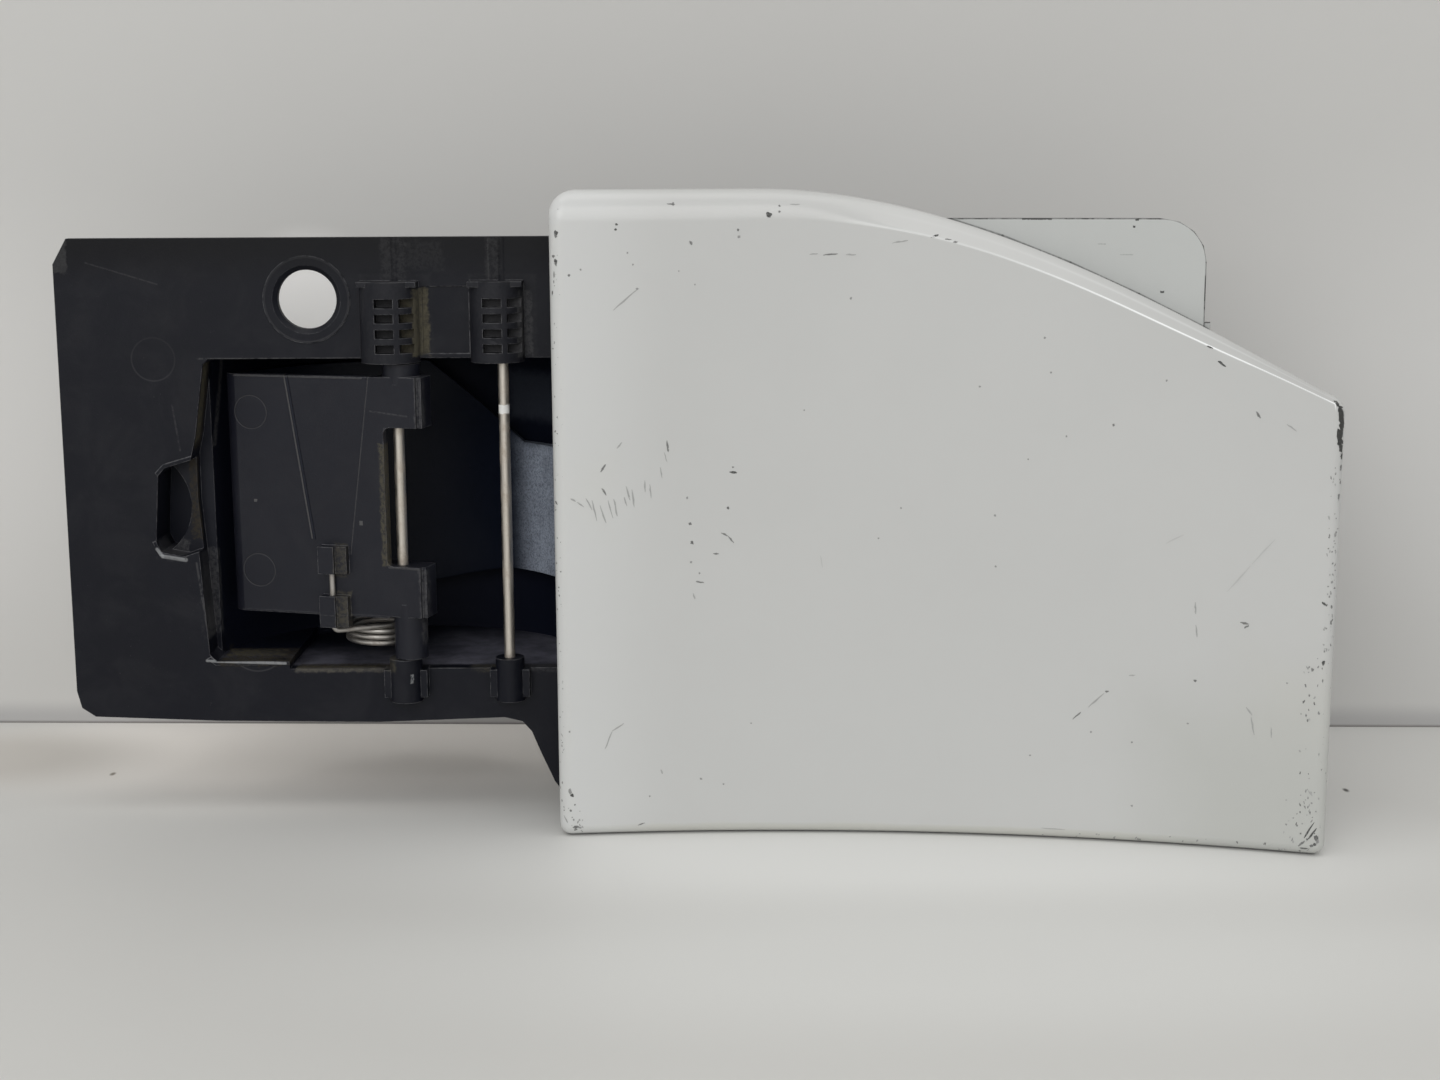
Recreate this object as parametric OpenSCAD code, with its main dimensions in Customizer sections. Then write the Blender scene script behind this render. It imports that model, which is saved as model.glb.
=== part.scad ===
// Car fuel door: painted cover on a moulded swing arm, hinged in a moulded pocket.
// Millimetres. X runs towards the free end of the door, Y into the body side, Z up.
// The origin is the centre of the fixing hole, at the back face of the flange.

/* [Flange] */
// thickness of the flange plate
flange_t = 3; // [2.5:0.5:4]
// width of the flange
flange_width = 159.5; // [156:0.5:168]
// right edge of the flange, behind the cover
flange_right = 89.5; // [86:0.5:96]
// height of the flange
flange_height = 137; // [135:0.5:145]
// top edge of the flange above the fixing hole
flange_top = 17; // [15:0.5:20]
// reach of the tongue below the flange, at the lower right
tongue_drop = 22; // [16:0.5:24]
// radius of the fixing hole
fixing_r = 8.15; // [6:0.05:9]
// countersink of the fixing hole
fixing_lead = 1.3; // [0.5:0.1:1.5]
// radius of the raised seat round the fixing hole
fixing_seat_r = 12; // [11:0.5:12.5]

/* [Pocket] */
// top of the pocket
pocket_top = -16.3; // [-17:0.1:-15]
// floor of the pocket
pocket_floor = -104.8; // [-106:0.1:-104.4]
// step of the floor at its left part
floor_step = 2.2; // [1:0.1:2.4]
// gap between the arm and the pocket's round back wall
arm_clear = 4.5; // [4:0.5:6]
// wall of the pocket
wall_t = 2.5; // [2:0.1:3]
// depth of the square front part of the pocket
front_depth = 7; // [5:0.5:9]
// depth of the notch at the left
notch_depth = 12; // [8:0.5:14]
// height of the notch's middle
notch_z = -58.4; // [-60:0.1:-57]

/* [Pins] */
// sideways place of the hinge pin
pin_x = 24.5; // [24:0.1:25]
// distance between the two pins
pin_pitch = 29.5; // [28:0.5:31]
// pin axis in front of the flange's back face
pin_front = 4.5; // [4.3:0.1:5]
// diameter of both pins
pin_d = 3; // [2.6:0.1:3.2]
// gap between a pin and its bore, at the radius
pin_gap = 0.05; // [0.03:0.01:0.1]
// height of the ribbed cages that hold the pins' upper ends
cage_h = 22.3; // [21:0.1:23]
// width of the cage over the hinge pin
cage_w = 16.3; // [16:0.1:17]
// width of the cage over the stop pin
stop_cage_w = 14.9; // [14.5:0.1:15.6]
// height of the lower pin cups
cup_h = 12.5; // [12:0.5:14]

/* [Swing arm] */
// inner radius of the curved arm about the hinge pin
arm_r = 48.5; // [47.5:0.5:49]
// thickness of the arm
arm_t = 3; // [2.5:0.1:3.5]
// lean of the front plate, deeper towards its left end
plate_lean = 15; // [12:0.5:18]
// radius of the hinge knuckles
knuckle_r = 5.2; // [4.8:0.1:5.6]
// arm's plate below the top of the pocket
plate_drop = 4.8; // [4.2:0.1:5.6]
// arm's plate above the floor of the pocket
plate_lift = 15.7; // [15.2:0.1:16]
// height of the opening between the knuckles
knuckle_gap = 39.2; // [36:0.2:41]
// top edge of the foot behind the cover
foot_top = -44; // [-48:0.5:-42]
// bottom edge of the foot
foot_bottom = -84.5; // [-86:0.5:-80]
// reach of the foot behind the cover
foot_reach = 35; // [30:0.5:40]

/* [Spring] */
// wire of the spring
wire_d = 1.6; // [1.2:0.1:1.7]
// mean radius of the coil
coil_r = 9.8; // [9.4:0.1:10]
// rise per turn
coil_pitch = 1.75; // [1.75:0.05:2.1]
// spring's upper end to the left of the hinge pin
eye_run = 19.5; // [19:0.1:20]
// axis of the coil behind the hinge pin
coil_back = 16; // [15.5:0.1:16.5]
// axis of the coil to the left of the hinge pin
coil_left = 9; // [8.6:0.1:9.4]
// spring's lower end behind the hinge pin
anchor_back = 36.6; // [36:0.1:37.2]

/* [Cover] */
// radius of the hollow bend of the cover's face
face_r = 520; // [480:5:700]
// place along X where the face lies deepest
face_mid = 121.5; // [110:0.5:135]
// face in front of the flange's back face at that place
face_front = 26.5; // [25:0.5:32]
// depth of the cover's rim
cover_depth = 14; // [13:0.5:15]
// wall of the cover
cover_t = 2.5; // [2:0.1:3]
// left edge of the cover
cover_left = 69; // [68:0.5:70]
// width of the cover
cover_width = 206.5; // [200:0.5:212]
// height of the cover
cover_height = 176.7; // [172:0.1:182]
// top edge of the cover
cover_top = 30; // [26:0.5:34]
// depth of the rolled edge along the top
roll_top = 7; // [5:0.5:8]
// rolled edge along the bottom and the sides
roll_side = 3.5; // [2.5:0.5:4]

/* [Carrier] */
// thickness of the carrier panel
carrier_t = 2.5; // [2:0.1:3]
// gap between the carrier and the cover's rim
carrier_gap = 0.2; // [0.1:0.05:0.3]
// height of the ribs on the carrier's back
rib_h = 2.6; // [1.5:0.1:4]
// thickness of those ribs
rib_t = 2.2; // [1.5:0.1:3]
// first rib above the cover's bottom edge
rib_first = 21.7; // [18:0.5:26]
// last rib below the cover's top edge
rib_last = 38; // [34:0.5:42]
// width of the tab
tab_width = 71; // [60:0.5:76]
// right edge of the tab
tab_right = 242.9; // [236:0.5:246]
// top edge of the tab
tab_top = 21.8; // [20:0.2:23]
// corner radius of the tab
tab_corner = 11.5; // [8:0.5:14]

/* [Hidden] */
$fn = 64;
eps = 0.01;
flange_left = flange_right - flange_width;
flange_bottom = flange_top - flange_height;
tongue_bottom = flange_bottom - tongue_drop;
plate_top = pocket_top - plate_drop;
plate_bottom = pocket_floor + plate_lift;
cover_right = cover_left + cover_width;
cover_bottom = cover_top - cover_height;
pin_y = -pin_front;
stop_x = pin_x + pin_pitch;
bore_r = pin_d / 2 + pin_gap;
cage_bottom = pocket_top - 0.9;
cage_top = cage_bottom + cage_h;
cup_top = pocket_floor + 3.6;
cup_bottom = cup_top - cup_h;
pin_top = cage_top - 1.2;
pin_bottom = cup_bottom + 2.4;
drum_r = arm_r + arm_t + arm_clear;
drum_out = drum_r + wall_t;
pocket_left = pin_x - drum_r;
pocket_right = pin_x + drum_r;
collar_top = cage_bottom - 0.3;
tube_bottom = cup_top + 0.3;
gap_mid = (plate_top + plate_bottom) / 2 + 0.4;
gap_top = gap_mid + knuckle_gap / 2;
gap_bottom = gap_mid - knuckle_gap / 2;
face_cy = -face_front - face_r;
rim_back_r = face_r + cover_depth;
carrier_r = rim_back_r + carrier_gap;
foot_r = carrier_r + carrier_t + carrier_gap;
rib_low = cover_bottom + rib_first;
rib_high = cover_top - rib_last;
wire_r = wire_d / 2;
eye_x = -eye_run;
eye_y = -5;
eye_bottom = plate_bottom - 3;
eye_top = eye_bottom + 23.2;
leg_z = eye_bottom - 1.3;
foot_left = cover_left + 1.6;
foot_right = cover_left + foot_reach;
arm_out = arm_r + arm_t;
arm_right = pin_x + arm_out;
arm_end_y = face_cy + sqrt(pow(foot_r + arm_t / 2, 2) - pow(arm_right - face_mid, 2));
plate_front = 1 - knuckle_r;
window_left = -2.9;

// a flat shape in X and Z, given its depth from y0 to y1
module slab(y0, y1) {
    translate([0, y1, 0])
        rotate([90, 0, 0])
            linear_extrude(y1 - y0)
                children();
}

// a block from corner to corner
module block(a, b) {
    translate(a)
        cube(b - a);
}

// an upright ring part about the cover's bend axis, between two X places
module bend_ring(r0, r1, z0, z1, x0, x1) {
    a1 = 90 - asin((x0 - face_mid) / r1);
    a0 = 90 - asin((x1 - face_mid) / r1);
    translate([face_mid, face_cy, 0])
        rotate([0, 0, a0])
            rotate_extrude(angle = a1 - a0, $fn = 360)
                translate([r0, z0])
                    square([r1 - r0, z1 - z0]);
}

// housing

module flange_shape() {
    tongue = flange_right - 32.5;
    polygon([
        [flange_left + 4.5, flange_top], [flange_left + 0.5, flange_top - 7],
        [flange_left, flange_bottom + 9], [flange_left + 1.2, flange_bottom + 4],
        [flange_left + 5, flange_bottom + 1.4], [flange_left + 40, flange_bottom],
        [tongue - 41, flange_bottom - 0.6], [tongue - 5, flange_bottom + 0.6],
        [tongue, flange_bottom - 0.6], [tongue + 2.6, flange_bottom - 3.6],
        [tongue + 5.2, flange_bottom - 10], [tongue + 9, tongue_bottom + 3.4],
        [tongue + 10.8, tongue_bottom + 1], [tongue + 13.5, tongue_bottom],
        [tongue + 25, tongue_bottom], [flange_right - 4, tongue_bottom + 3],
        [flange_right, flange_bottom], [flange_right, flange_top]
    ]);
}

module opening_shape() {
    left = pocket_left;
    polygon([
        [left + 3.5, pocket_top], [left + 1.9, pocket_top - 1.6], [left - 1.1, notch_z + 20.4],
        [left - 2.5, notch_z + 14.7], [left - 2.6, notch_z + 1.4], [left - 1.6, notch_z - 13.5],
        [left, pocket_floor + floor_step + 2], [left + 1.9, pocket_floor + floor_step],
        [left + 22.6, pocket_floor + floor_step], [left + 22.6, pocket_floor],
        [pocket_right, pocket_floor], [pocket_right, pocket_top]
    ]);
}

module notch_shape() {
    left = pocket_left;
    polygon([
        [left + 1.5, notch_z + 16.8], [left - 1.5, notch_z + 14.2], [left - 10.1, notch_z + 11.6],
        [left - 12.1, notch_z + 9.4], [left - 13.5, notch_z - 9.2], [left - 12.1, notch_z - 12.4],
        [left - 5.5, notch_z - 13.6], [left + 1.5, notch_z - 11.2]
    ]);
}

module cavity() {
    slab(-flange_t - 2, front_depth)
        opening_shape();
    intersection() {
        slab(-flange_t - 1, drum_r + 2)
            opening_shape();
        translate([pin_x, pin_y, pocket_floor - 1])
            cylinder(r = drum_r, h = pocket_top - pocket_floor + 2, $fn = 160);
    }
    slab(-flange_t - 1, 3)
        notch_shape();
    intersection() {
        slab(-flange_t - 1, notch_depth)
            notch_shape();
        slab(-flange_t - 1, notch_depth + 1)
            translate([pocket_left - 20.5, notch_z])
                circle(r = 16);
    }
}

// half round cage, its middle a little left of the pin
module cage_body(x, w) {
    mid = x - w / 10;
    intersection() {
        block([mid - w, -16, cage_bottom], [mid + w, -flange_t + 0.5, cage_top]);
        translate([mid, -flange_t - 0.4, cage_bottom])
            cylinder(d = w, h = cage_h, $fn = 96);
    }
    block([mid - w / 2, -9.4, cage_top - 1.5], [mid + w / 2, -flange_t + 0.5, cage_top]);
}

module cage_windows(x) {
    for (row = [0:3]) {
        z = cage_top - 7 - row * 4.15;
        block([x - 4.8, -14, z], [x + 0.4, pin_y - bore_r - 0.9, z + 2.4]);
        block([x + 1.9, -14, z], [x + 5.5, -5.9, z + 2.4]);
    }
}

module cup(x, r) {
    translate([x, pin_y, cup_bottom])
        cylinder(r = r, h = cup_h);
    block([x - r - 1.5, -6.4, cup_bottom + 1.2], [x + r + 1.5, -eps, cup_top - 3.4]);
}

// fine raised rims at the notch and under the pocket's ledge
module rims() {
    left = pocket_left;
    ledge = pocket_floor + floor_step;
    slab(-flange_t - 0.4, -flange_t + 0.5) {
        polygon([
            [left - 13.5, notch_z - 9.2], [left - 12.1, notch_z - 12.4], [left - 5.5, notch_z - 13.6],
            [left - 5.4, notch_z - 14.6], [left - 12.7, notch_z - 13.4], [left - 14.5, notch_z - 9.5]
        ]);
        polygon([
            [left - 1.5, notch_z + 14.2], [left - 10.1, notch_z + 11.6], [left - 12.1, notch_z + 9.4],
            [left - 12.8, notch_z + 10.2], [left - 10.5, notch_z + 12.6], [left - 1.7, notch_z + 15.2]
        ]);
        polygon([
            [left + 0.2, ledge + 1.4], [left + 1.9, ledge], [left + 22.6, ledge],
            [left + 22.6, ledge - 1], [left + 1.5, ledge - 1], [left - 0.8, ledge + 0.8]
        ]);
    }
}

module pin_bore(x) {
    translate([x, pin_y, pin_bottom - 0.1])
        cylinder(r = bore_r, h = cage_top - pin_bottom + 1);
}

module housing() {
    color([0.16, 0.16, 0.17])
    difference() {
        union() {
            slab(-flange_t, 0)
                flange_shape();
            slab(-flange_t - 0.4, -flange_t + 0.5)
                circle(r = fixing_seat_r);
            intersection() {
                translate([pin_x, pin_y, pocket_floor - wall_t])
                    cylinder(r = drum_out, h = pocket_top - pocket_floor + 2 * wall_t, $fn = 160);
                block([pin_x - drum_out, -flange_t + 0.5, pocket_floor - wall_t],
                      [pin_x + drum_out, drum_out, pocket_top + wall_t]);
            }
            block([pocket_left - 6.5, -1, pocket_floor], [pocket_left + 11.5, front_depth + wall_t, pocket_top + wall_t]);
            block([pocket_left - 16.5, -1, notch_z - 16.6], [pocket_left - 0.5, notch_depth + wall_t, notch_z + 19.4]);
            cage_body(pin_x, cage_w);
            cage_body(stop_x, stop_cage_w);
            cup(pin_x, 4.6);
            cup(stop_x, 4.1);
            rims();
            translate([anchor_x, anchor_y, pocket_floor - wall_t - 5])
                cylinder(r = 4, h = wall_t + 5.8);
        }
        difference() {
            cavity();
            cup(pin_x, 4.6);
            cup(stop_x, 4.1);
            cage_body(pin_x, cage_w);
            cage_body(stop_x, stop_cage_w);
            translate([anchor_x, anchor_y, pocket_floor - wall_t])
                cylinder(r = 4, h = wall_t + 0.8);
        }
        slab(-flange_t - 2, 2)
            circle(r = fixing_r);
        translate([0, -flange_t - 0.4 - eps, 0])
            rotate([-90, 0, 0])
                cylinder(r1 = fixing_r + fixing_lead, r2 = fixing_r, h = fixing_lead);
        cage_windows(pin_x);
        cage_windows(stop_x);
        pin_bore(pin_x);
        pin_bore(stop_x);
        for (x = [pin_x, stop_x])
            translate([x, pin_y, cage_top - 1])
                cylinder(r = 1.75, h = 30);
        block([pin_x + cage_w * 0.4 + 0.9, -flange_t - 1, pocket_top + 1.2],
              [stop_x - stop_cage_w * 0.6 - 0.3, -flange_t + 0.5, cage_top - 1.6]);
        translate([anchor_x, anchor_y, pocket_floor - wall_t - 3.5])
            cylinder(r = wire_r + 0.15, h = 12);
    }
}

// pins

module steel_pin(x) {
    translate([x, pin_y, pin_bottom])
        cylinder(d = pin_d, h = pin_top - pin_bottom);
}

module hinge_pin() {
    color([0.62, 0.6, 0.57])
        steel_pin(pin_x);
}

module stop_pin() {
    color([0.62, 0.6, 0.57])
        steel_pin(stop_x);
}

// swing arm

module at_hinge() {
    translate([pin_x, pin_y, 0])
        rotate([0, 0, -plate_lean])
            children();
}

module knuckle_block(z0, z1) {
    block([-6, plate_front, z0], [6.9, knuckle_r - 0.6, z1]);
    block([-6, plate_front + 1.2, z0], [8.2, knuckle_r - 1.2, z1]);
}

module knuckles() {
    at_hinge() {
        knuckle_block(gap_top, plate_top);
        knuckle_block(plate_bottom + 0.4, gap_bottom);
        translate([0.9, 0.9, plate_top - 2])
            cylinder(r = knuckle_r, h = collar_top - plate_top + 2);
        translate([1.7, 0.4, tube_bottom])
            cylinder(r = knuckle_r - 0.5, h = plate_bottom + 4 - tube_bottom);
    }
}

// fills a corner of the opening between the knuckles with a round
module window_corner(z, up) {
    r = 1.8;
    difference() {
        block([window_left - 1, plate_front, min(z, z + up * r)], [window_left + r, plate_front + 2, max(z, z + up * r)]);
        translate([window_left + r, 0, z + up * r])
            rotate([90, 0, 0])
                cylinder(r = r, h = 20, center = true);
    }
}

module spring_eye(z0, z1) {
    block([eye_x - 3.2, eye_y - 2.3, z0], [eye_x + 1.6, -3, z1]);
    block([eye_x + 1, eye_y - 1.2, z0], [eye_x + 5, -3, z1]);
}

module front_plate() {
    at_hinge() {
        block([0.3 - arm_out, plate_front, plate_bottom], [window_left, plate_front + arm_t, plate_top]);
        window_corner(gap_bottom, 1);
        window_corner(gap_top, -1);
        spring_eye(eye_bottom, eye_bottom + 9);
        spring_eye(eye_top - 7.8, eye_top);
    }
}

// takes the sharp corner off where the plate turns into the curved arm
module turn_cut() {
    r = 5.3;
    at_hinge()
        difference() {
            block([-arm_out - 1, plate_front - 2, plate_bottom - 1], [5 - arm_out, plate_front + 5.2, plate_top + 1]);
            translate([5 - arm_out, plate_front + 5.2, plate_bottom - 2])
                cylinder(r = r, h = plate_top - plate_bottom + 4);
        }
}

module curved_arm() {
    start = asin((arm_end_y - pin_y) / arm_out);
    end = 180 - plate_lean + 3;
    difference() {
        translate([pin_x, pin_y, plate_bottom + 0.6])
            rotate([0, 0, start])
                rotate_extrude(angle = end - start, $fn = 160)
                    translate([arm_r, 0])
                        square([arm_t, plate_top - plate_bottom - 1.2]);
        slab(-30, 90)
            polygon([
                [pin_x - 0.5, plate_top + 5], [pin_x - 0.5, plate_top + 1.6], [pin_x + 31.5, foot_top - 1],
                [arm_right + 18, foot_top - 1], [arm_right + 18, plate_top + 5]
            ]);
        slab(-30, 90)
            polygon([
                [pin_x - 4.5, plate_bottom - 5], [pin_x - 4.5, plate_bottom - 1.4], [pin_x + 25.5, foot_bottom + 1],
                [arm_right + 18, foot_bottom + 1], [arm_right + 18, plate_bottom - 5]
            ]);
    }
}

// ties the arm's end to its foot
module gusset(z) {
    back = face_cy + sqrt(pow(foot_r + arm_t, 2) - pow(arm_right - face_mid, 2));
    block([arm_right - 2.5, back - 1.4, z], [arm_right + 10.5, back + 2.4, z + 2.4]);
}

module swing_arm() {
    color([0.19, 0.19, 0.2])
    difference() {
        union() {
            knuckles();
            front_plate();
            curved_arm();
            bend_ring(foot_r, foot_r + arm_t, foot_bottom, foot_top, foot_left, foot_right);
            for (k = [0:2])
                gusset(foot_bottom + 6.5 + k * (foot_top - foot_bottom - 13.5) / 2);
        }
        turn_cut();
        translate([pin_x, pin_y, tube_bottom - 1])
            cylinder(r = bore_r + 0.03, h = collar_top - tube_bottom + 2);
        at_hinge()
            translate([eye_x, eye_y, eye_bottom - 1])
                cylinder(r = wire_r + 0.12, h = eye_top - eye_bottom);
    }
}

// spring

function turned(p, a) = [p[0] * cos(a) - p[1] * sin(a), p[0] * sin(a) + p[1] * cos(a)];
function unit(v) = v / norm(v);

eye_at = turned([eye_x, eye_y], -plate_lean);
coil_at = [-coil_left, coil_back];
reach = norm(coil_at - eye_at);
aim = atan2(coil_at[1] - eye_at[1], coil_at[0] - eye_at[0]) - asin(coil_r / reach);
leg_run = sqrt(reach * reach - coil_r * coil_r);
bend_r = 1.5;
coil_from = aim - 90;
coil_to = 30 + 3 * 360;
coil_drop = coil_pitch * (coil_to - coil_from) / 360;
foot_z = leg_z - coil_drop;
leave = [coil_at[0] + coil_r * cos(coil_to), coil_at[1] + coil_r * sin(coil_to)];
foot_dir = [cos(coil_to + 90), sin(coil_to + 90)];
foot_run = (anchor_back - leave[1]) / foot_dir[1];
anchor_x = pin_x + leave[0] + foot_dir[0] * foot_run;
anchor_y = pin_y + anchor_back;
wire_path = concat(
    [[eye_at[0], eye_at[1], eye_top - 2.4]],
    [for (a = [0:22.5:90])
        [eye_at[0] + bend_r * (1 - cos(a)) * cos(aim), eye_at[1] + bend_r * (1 - cos(a)) * sin(aim),
         leg_z + bend_r * (1 - sin(a))]],
    [for (a = [coil_from:15:coil_to + 0.1])
        [coil_at[0] + coil_r * cos(a), coil_at[1] + coil_r * sin(a),
         leg_z - coil_drop * (a - coil_from) / (coil_to - coil_from)]],
    [for (a = [0:22.5:90])
        [leave[0] + foot_dir[0] * (foot_run - bend_r + bend_r * sin(a)),
         leave[1] + foot_dir[1] * (foot_run - bend_r + bend_r * sin(a)),
         foot_z - bend_r * (1 - cos(a))]],
    [[leave[0] + foot_dir[0] * foot_run, leave[1] + foot_dir[1] * foot_run, pocket_floor - 3.3]]
);
sides = 10;
last = len(wire_path) - 1;

function heading(i) = unit(wire_path[min(i + 1, last)] - wire_path[max(i - 1, 0)]);
function carried(u, t) = unit(u - (u * t) * t);
function frames(i, u) = i > last ? [] : let (v = carried(u, heading(i))) concat([v], frames(i + 1, v));

side_dirs = frames(0, [1, 0.3, 0]);
wire_points = [for (i = [0:last]) for (k = [0:sides - 1])
    let (u = side_dirs[i], w = cross(heading(i), u), a = k * 360 / sides)
    wire_path[i] + wire_r * (cos(a) * u + sin(a) * w)];
wire_sides = [for (i = [0:last - 1]) for (k = [0:sides - 1])
    [i * sides + k, (i + 1) * sides + k, (i + 1) * sides + (k + 1) % sides, i * sides + (k + 1) % sides]];

module torsion_spring() {
    color([0.66, 0.65, 0.63])
        translate([pin_x, pin_y, 0])
            polyhedron(
                points = wire_points,
                faces = concat(wire_sides, [[for (k = [0:sides - 1]) k]],
                               [[for (k = [sides - 1:-1:0]) last * sides + k]]),
                convexity = 8);
}

// cover and carrier

edge_a = [124, cover_top];
edge_b = [184, cover_top];
edge_c = [cover_right - 29.2, cover_top - 39.6];
edge_d = [cover_right - 2.5, cover_top - 53.2];

function edge_point(t) = pow(1 - t, 3) * edge_a + 3 * pow(1 - t, 2) * t * edge_b
    + 3 * (1 - t) * t * t * edge_c + pow(t, 3) * edge_d;
function edge_heading(t) = unit(pow(1 - t, 2) * (edge_b - edge_a) + 2 * (1 - t) * t * (edge_c - edge_b)
    + t * t * (edge_d - edge_c));
function arc_points(c, r, a0, a1) = [for (k = [0:4]) c + r * [cos(a0 + (a1 - a0) * k / 4), sin(a0 + (a1 - a0) * k / 4)]];
function edge_normal(t) = [-edge_heading(t)[1], edge_heading(t)[0]];
function face_y(x) = face_cy + sqrt(face_r * face_r - pow(x - face_mid, 2));
steps = 12;

// the cover's outline, moved inwards by an amount
module outline(inset) {
    polygon(concat(
        arc_points([cover_left + 6.5, cover_top - 6.5], 6.5 - inset, 180, 90),
        [for (k = [0:steps]) edge_point(k / steps) - inset * edge_normal(k / steps)],
        arc_points([cover_right - 4.4, cover_top - 57], 4.4 - inset, 62, 0),
        arc_points([cover_right - 3.5, cover_bottom + 3.5], 3.5 - inset, 0, -90),
        arc_points([cover_left + 3.5, cover_bottom + 3.5], 3.5 - inset, 270, 180)
    ));
}

module cover_block(r0, r1, top, bottom, roll_z, roll_y, low) {
    a0 = 90 - asin((cover_right + 4 - face_mid) / face_r);
    a1 = 90 - asin((cover_left - 4 - face_mid) / face_r);
    translate([face_mid, face_cy, 0])
        rotate([0, 0, a0])
            rotate_extrude(angle = a1 - a0, $fn = 360)
                polygon(concat(
                    [[r1, bottom]], [[r1, top]],
                    [for (k = [0:5]) [r0 + roll_y * (1 - sin(k * 18 * 0.99)), top - roll_z * (1 - cos(k * 18 * 0.99))]],
                    [for (k = [5:-1:0]) [r0 + low * (1 - sin(k * 18)), bottom + low * (1 - cos(k * 18))]]
                ));
}

// takes the corner off the front along one stretch of the edge
module edge_cut(p, q, band, drop) {
    mid = (p + q) / 2;
    run = norm(q - p);
    lean = atan2(q[1] - p[1], q[0] - p[0]);
    sink = atan2(face_y(q[0]) - face_y(p[0]), run);
    tilt = atan2(band, drop);
    translate([mid[0], face_y(mid[0]), mid[1]])
        rotate([0, -lean, 0])
            rotate([0, 0, sink])
                translate([0, 0, -band])
                    rotate([tilt, 0, 0])
                        translate([-run / 2 - 0.6, -8, 0])
                            cube([run + 1.2, 24, 10]);
}

module outer_cover() {
    color([0.78, 0.79, 0.77])
    difference() {
        intersection() {
            cover_block(face_r, rim_back_r, cover_top, cover_bottom, roll_top, 4.5, roll_side);
            slab(-90, 20)
                outline(0);
        }
        intersection() {
            cover_block(face_r + cover_t, rim_back_r + 3, cover_top - cover_t, cover_bottom + cover_t,
                        roll_top - 1, 3.5, roll_side - 1);
            slab(-90, 20)
                outline(cover_t);
        }
        for (k = [1:steps - 1])
            edge_cut(edge_point(k / steps), edge_point((k + 1) / steps), roll_top - 0.2 - k * 0.2, 3.2);
        edge_cut([cover_right, cover_top - 50], [cover_right, cover_bottom - 6], roll_side, roll_side - 1);
        edge_cut([cover_left, cover_bottom - 6], [cover_left, cover_top + 6], roll_side, roll_side - 1);
    }
}

module carrier_shape() {
    outline(1.6);
    polygon(concat(
        [[tab_right - tab_width, tab_top - 42], [tab_right - tab_width, tab_top]],
        arc_points([tab_right - tab_corner, tab_top - tab_corner], tab_corner, 90, 0),
        [[tab_right, tab_top - 42]]
    ));
}

module inner_carrier() {
    color([0.3, 0.3, 0.31])
    union() {
        intersection() {
            bend_ring(carrier_r, carrier_r + carrier_t, cover_bottom - 2, cover_top + 2, cover_left - 4, cover_right + 4);
            slab(-90, 20)
                carrier_shape();
        }
        for (z = [rib_low, rib_low + 29, rib_high - 26, rib_high])
            bend_ring(carrier_r + 1, carrier_r + carrier_t + rib_h, z, z + rib_t, cover_left + 12, cover_right - 30);
        for (x = [cover_left + 20, cover_left + 81, cover_right - 36])
            bend_ring(carrier_r + 1.3, carrier_r + carrier_t + rib_h - 0.5, rib_low + 1,
                      x > foot_left + 20 ? rib_high + 1 : rib_low + 30, x, x + rib_t);
    }
}

housing();
hinge_pin();
stop_pin();
torsion_spring();
swing_arm();
inner_carrier();
outer_cover();
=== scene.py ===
import math
import random
import bpy
import bmesh
import numpy as np
from mathutils import Matrix, Vector
from mathutils.bvhtree import BVHTree


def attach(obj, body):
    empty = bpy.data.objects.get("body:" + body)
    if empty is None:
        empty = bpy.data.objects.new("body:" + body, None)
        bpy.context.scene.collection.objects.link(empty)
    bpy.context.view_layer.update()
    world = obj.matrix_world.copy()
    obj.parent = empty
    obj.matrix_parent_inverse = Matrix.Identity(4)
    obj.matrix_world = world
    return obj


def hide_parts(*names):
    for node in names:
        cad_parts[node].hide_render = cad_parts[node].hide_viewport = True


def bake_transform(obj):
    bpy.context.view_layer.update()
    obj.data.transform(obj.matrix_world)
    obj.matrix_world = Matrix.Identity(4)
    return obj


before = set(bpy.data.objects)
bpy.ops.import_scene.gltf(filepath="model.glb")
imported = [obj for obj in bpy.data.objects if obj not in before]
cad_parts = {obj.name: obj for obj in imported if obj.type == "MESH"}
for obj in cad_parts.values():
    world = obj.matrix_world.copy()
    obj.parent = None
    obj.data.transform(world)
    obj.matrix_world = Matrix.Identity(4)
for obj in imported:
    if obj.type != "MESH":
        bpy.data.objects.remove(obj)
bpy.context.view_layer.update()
print("frame loaded:", ", ".join(sorted(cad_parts)))

scene = bpy.context.scene
scene.view_settings.view_transform = "Standard"
milli = 0.001
nodeGrid = {"wide": 180, "high": 220, "aRow": 12}  # how the shader nodes are laid out in their editor


def newPiece(name, points, faces, smooth=True):
    mesh = bpy.data.meshes.new(name)
    mesh.from_pydata([tuple(p) for p in points], [], faces)
    mesh.validate()
    piece = bpy.data.objects.new(name, mesh)
    scene.collection.objects.link(piece)
    for poly in mesh.polygons:
        poly.use_smooth = smooth
    return piece


# joins rings of points into a closed tube
def tube(name, rings):
    n = len(rings[0])
    last = n * (len(rings) - 1)
    faces = [(a + k, a + (k + 1) % n, a + n + (k + 1) % n, a + n + k)
             for a in range(0, last, n) for k in range(n)]
    faces += [tuple(range(n - 1, -1, -1)), tuple(range(last, last + n))]
    return newPiece(name, [point for ring in rings for point in ring], faces)


def faceOutwards(piece):
    bm = bmesh.new()
    bm.from_mesh(piece.data)
    bmesh.ops.recalc_face_normals(bm, faces=bm.faces)
    bm.to_mesh(piece.data)
    bm.free()


def sharpenBy(piece, degrees):
    piece.data.set_sharp_from_angle(angle=math.radians(degrees))


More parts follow.
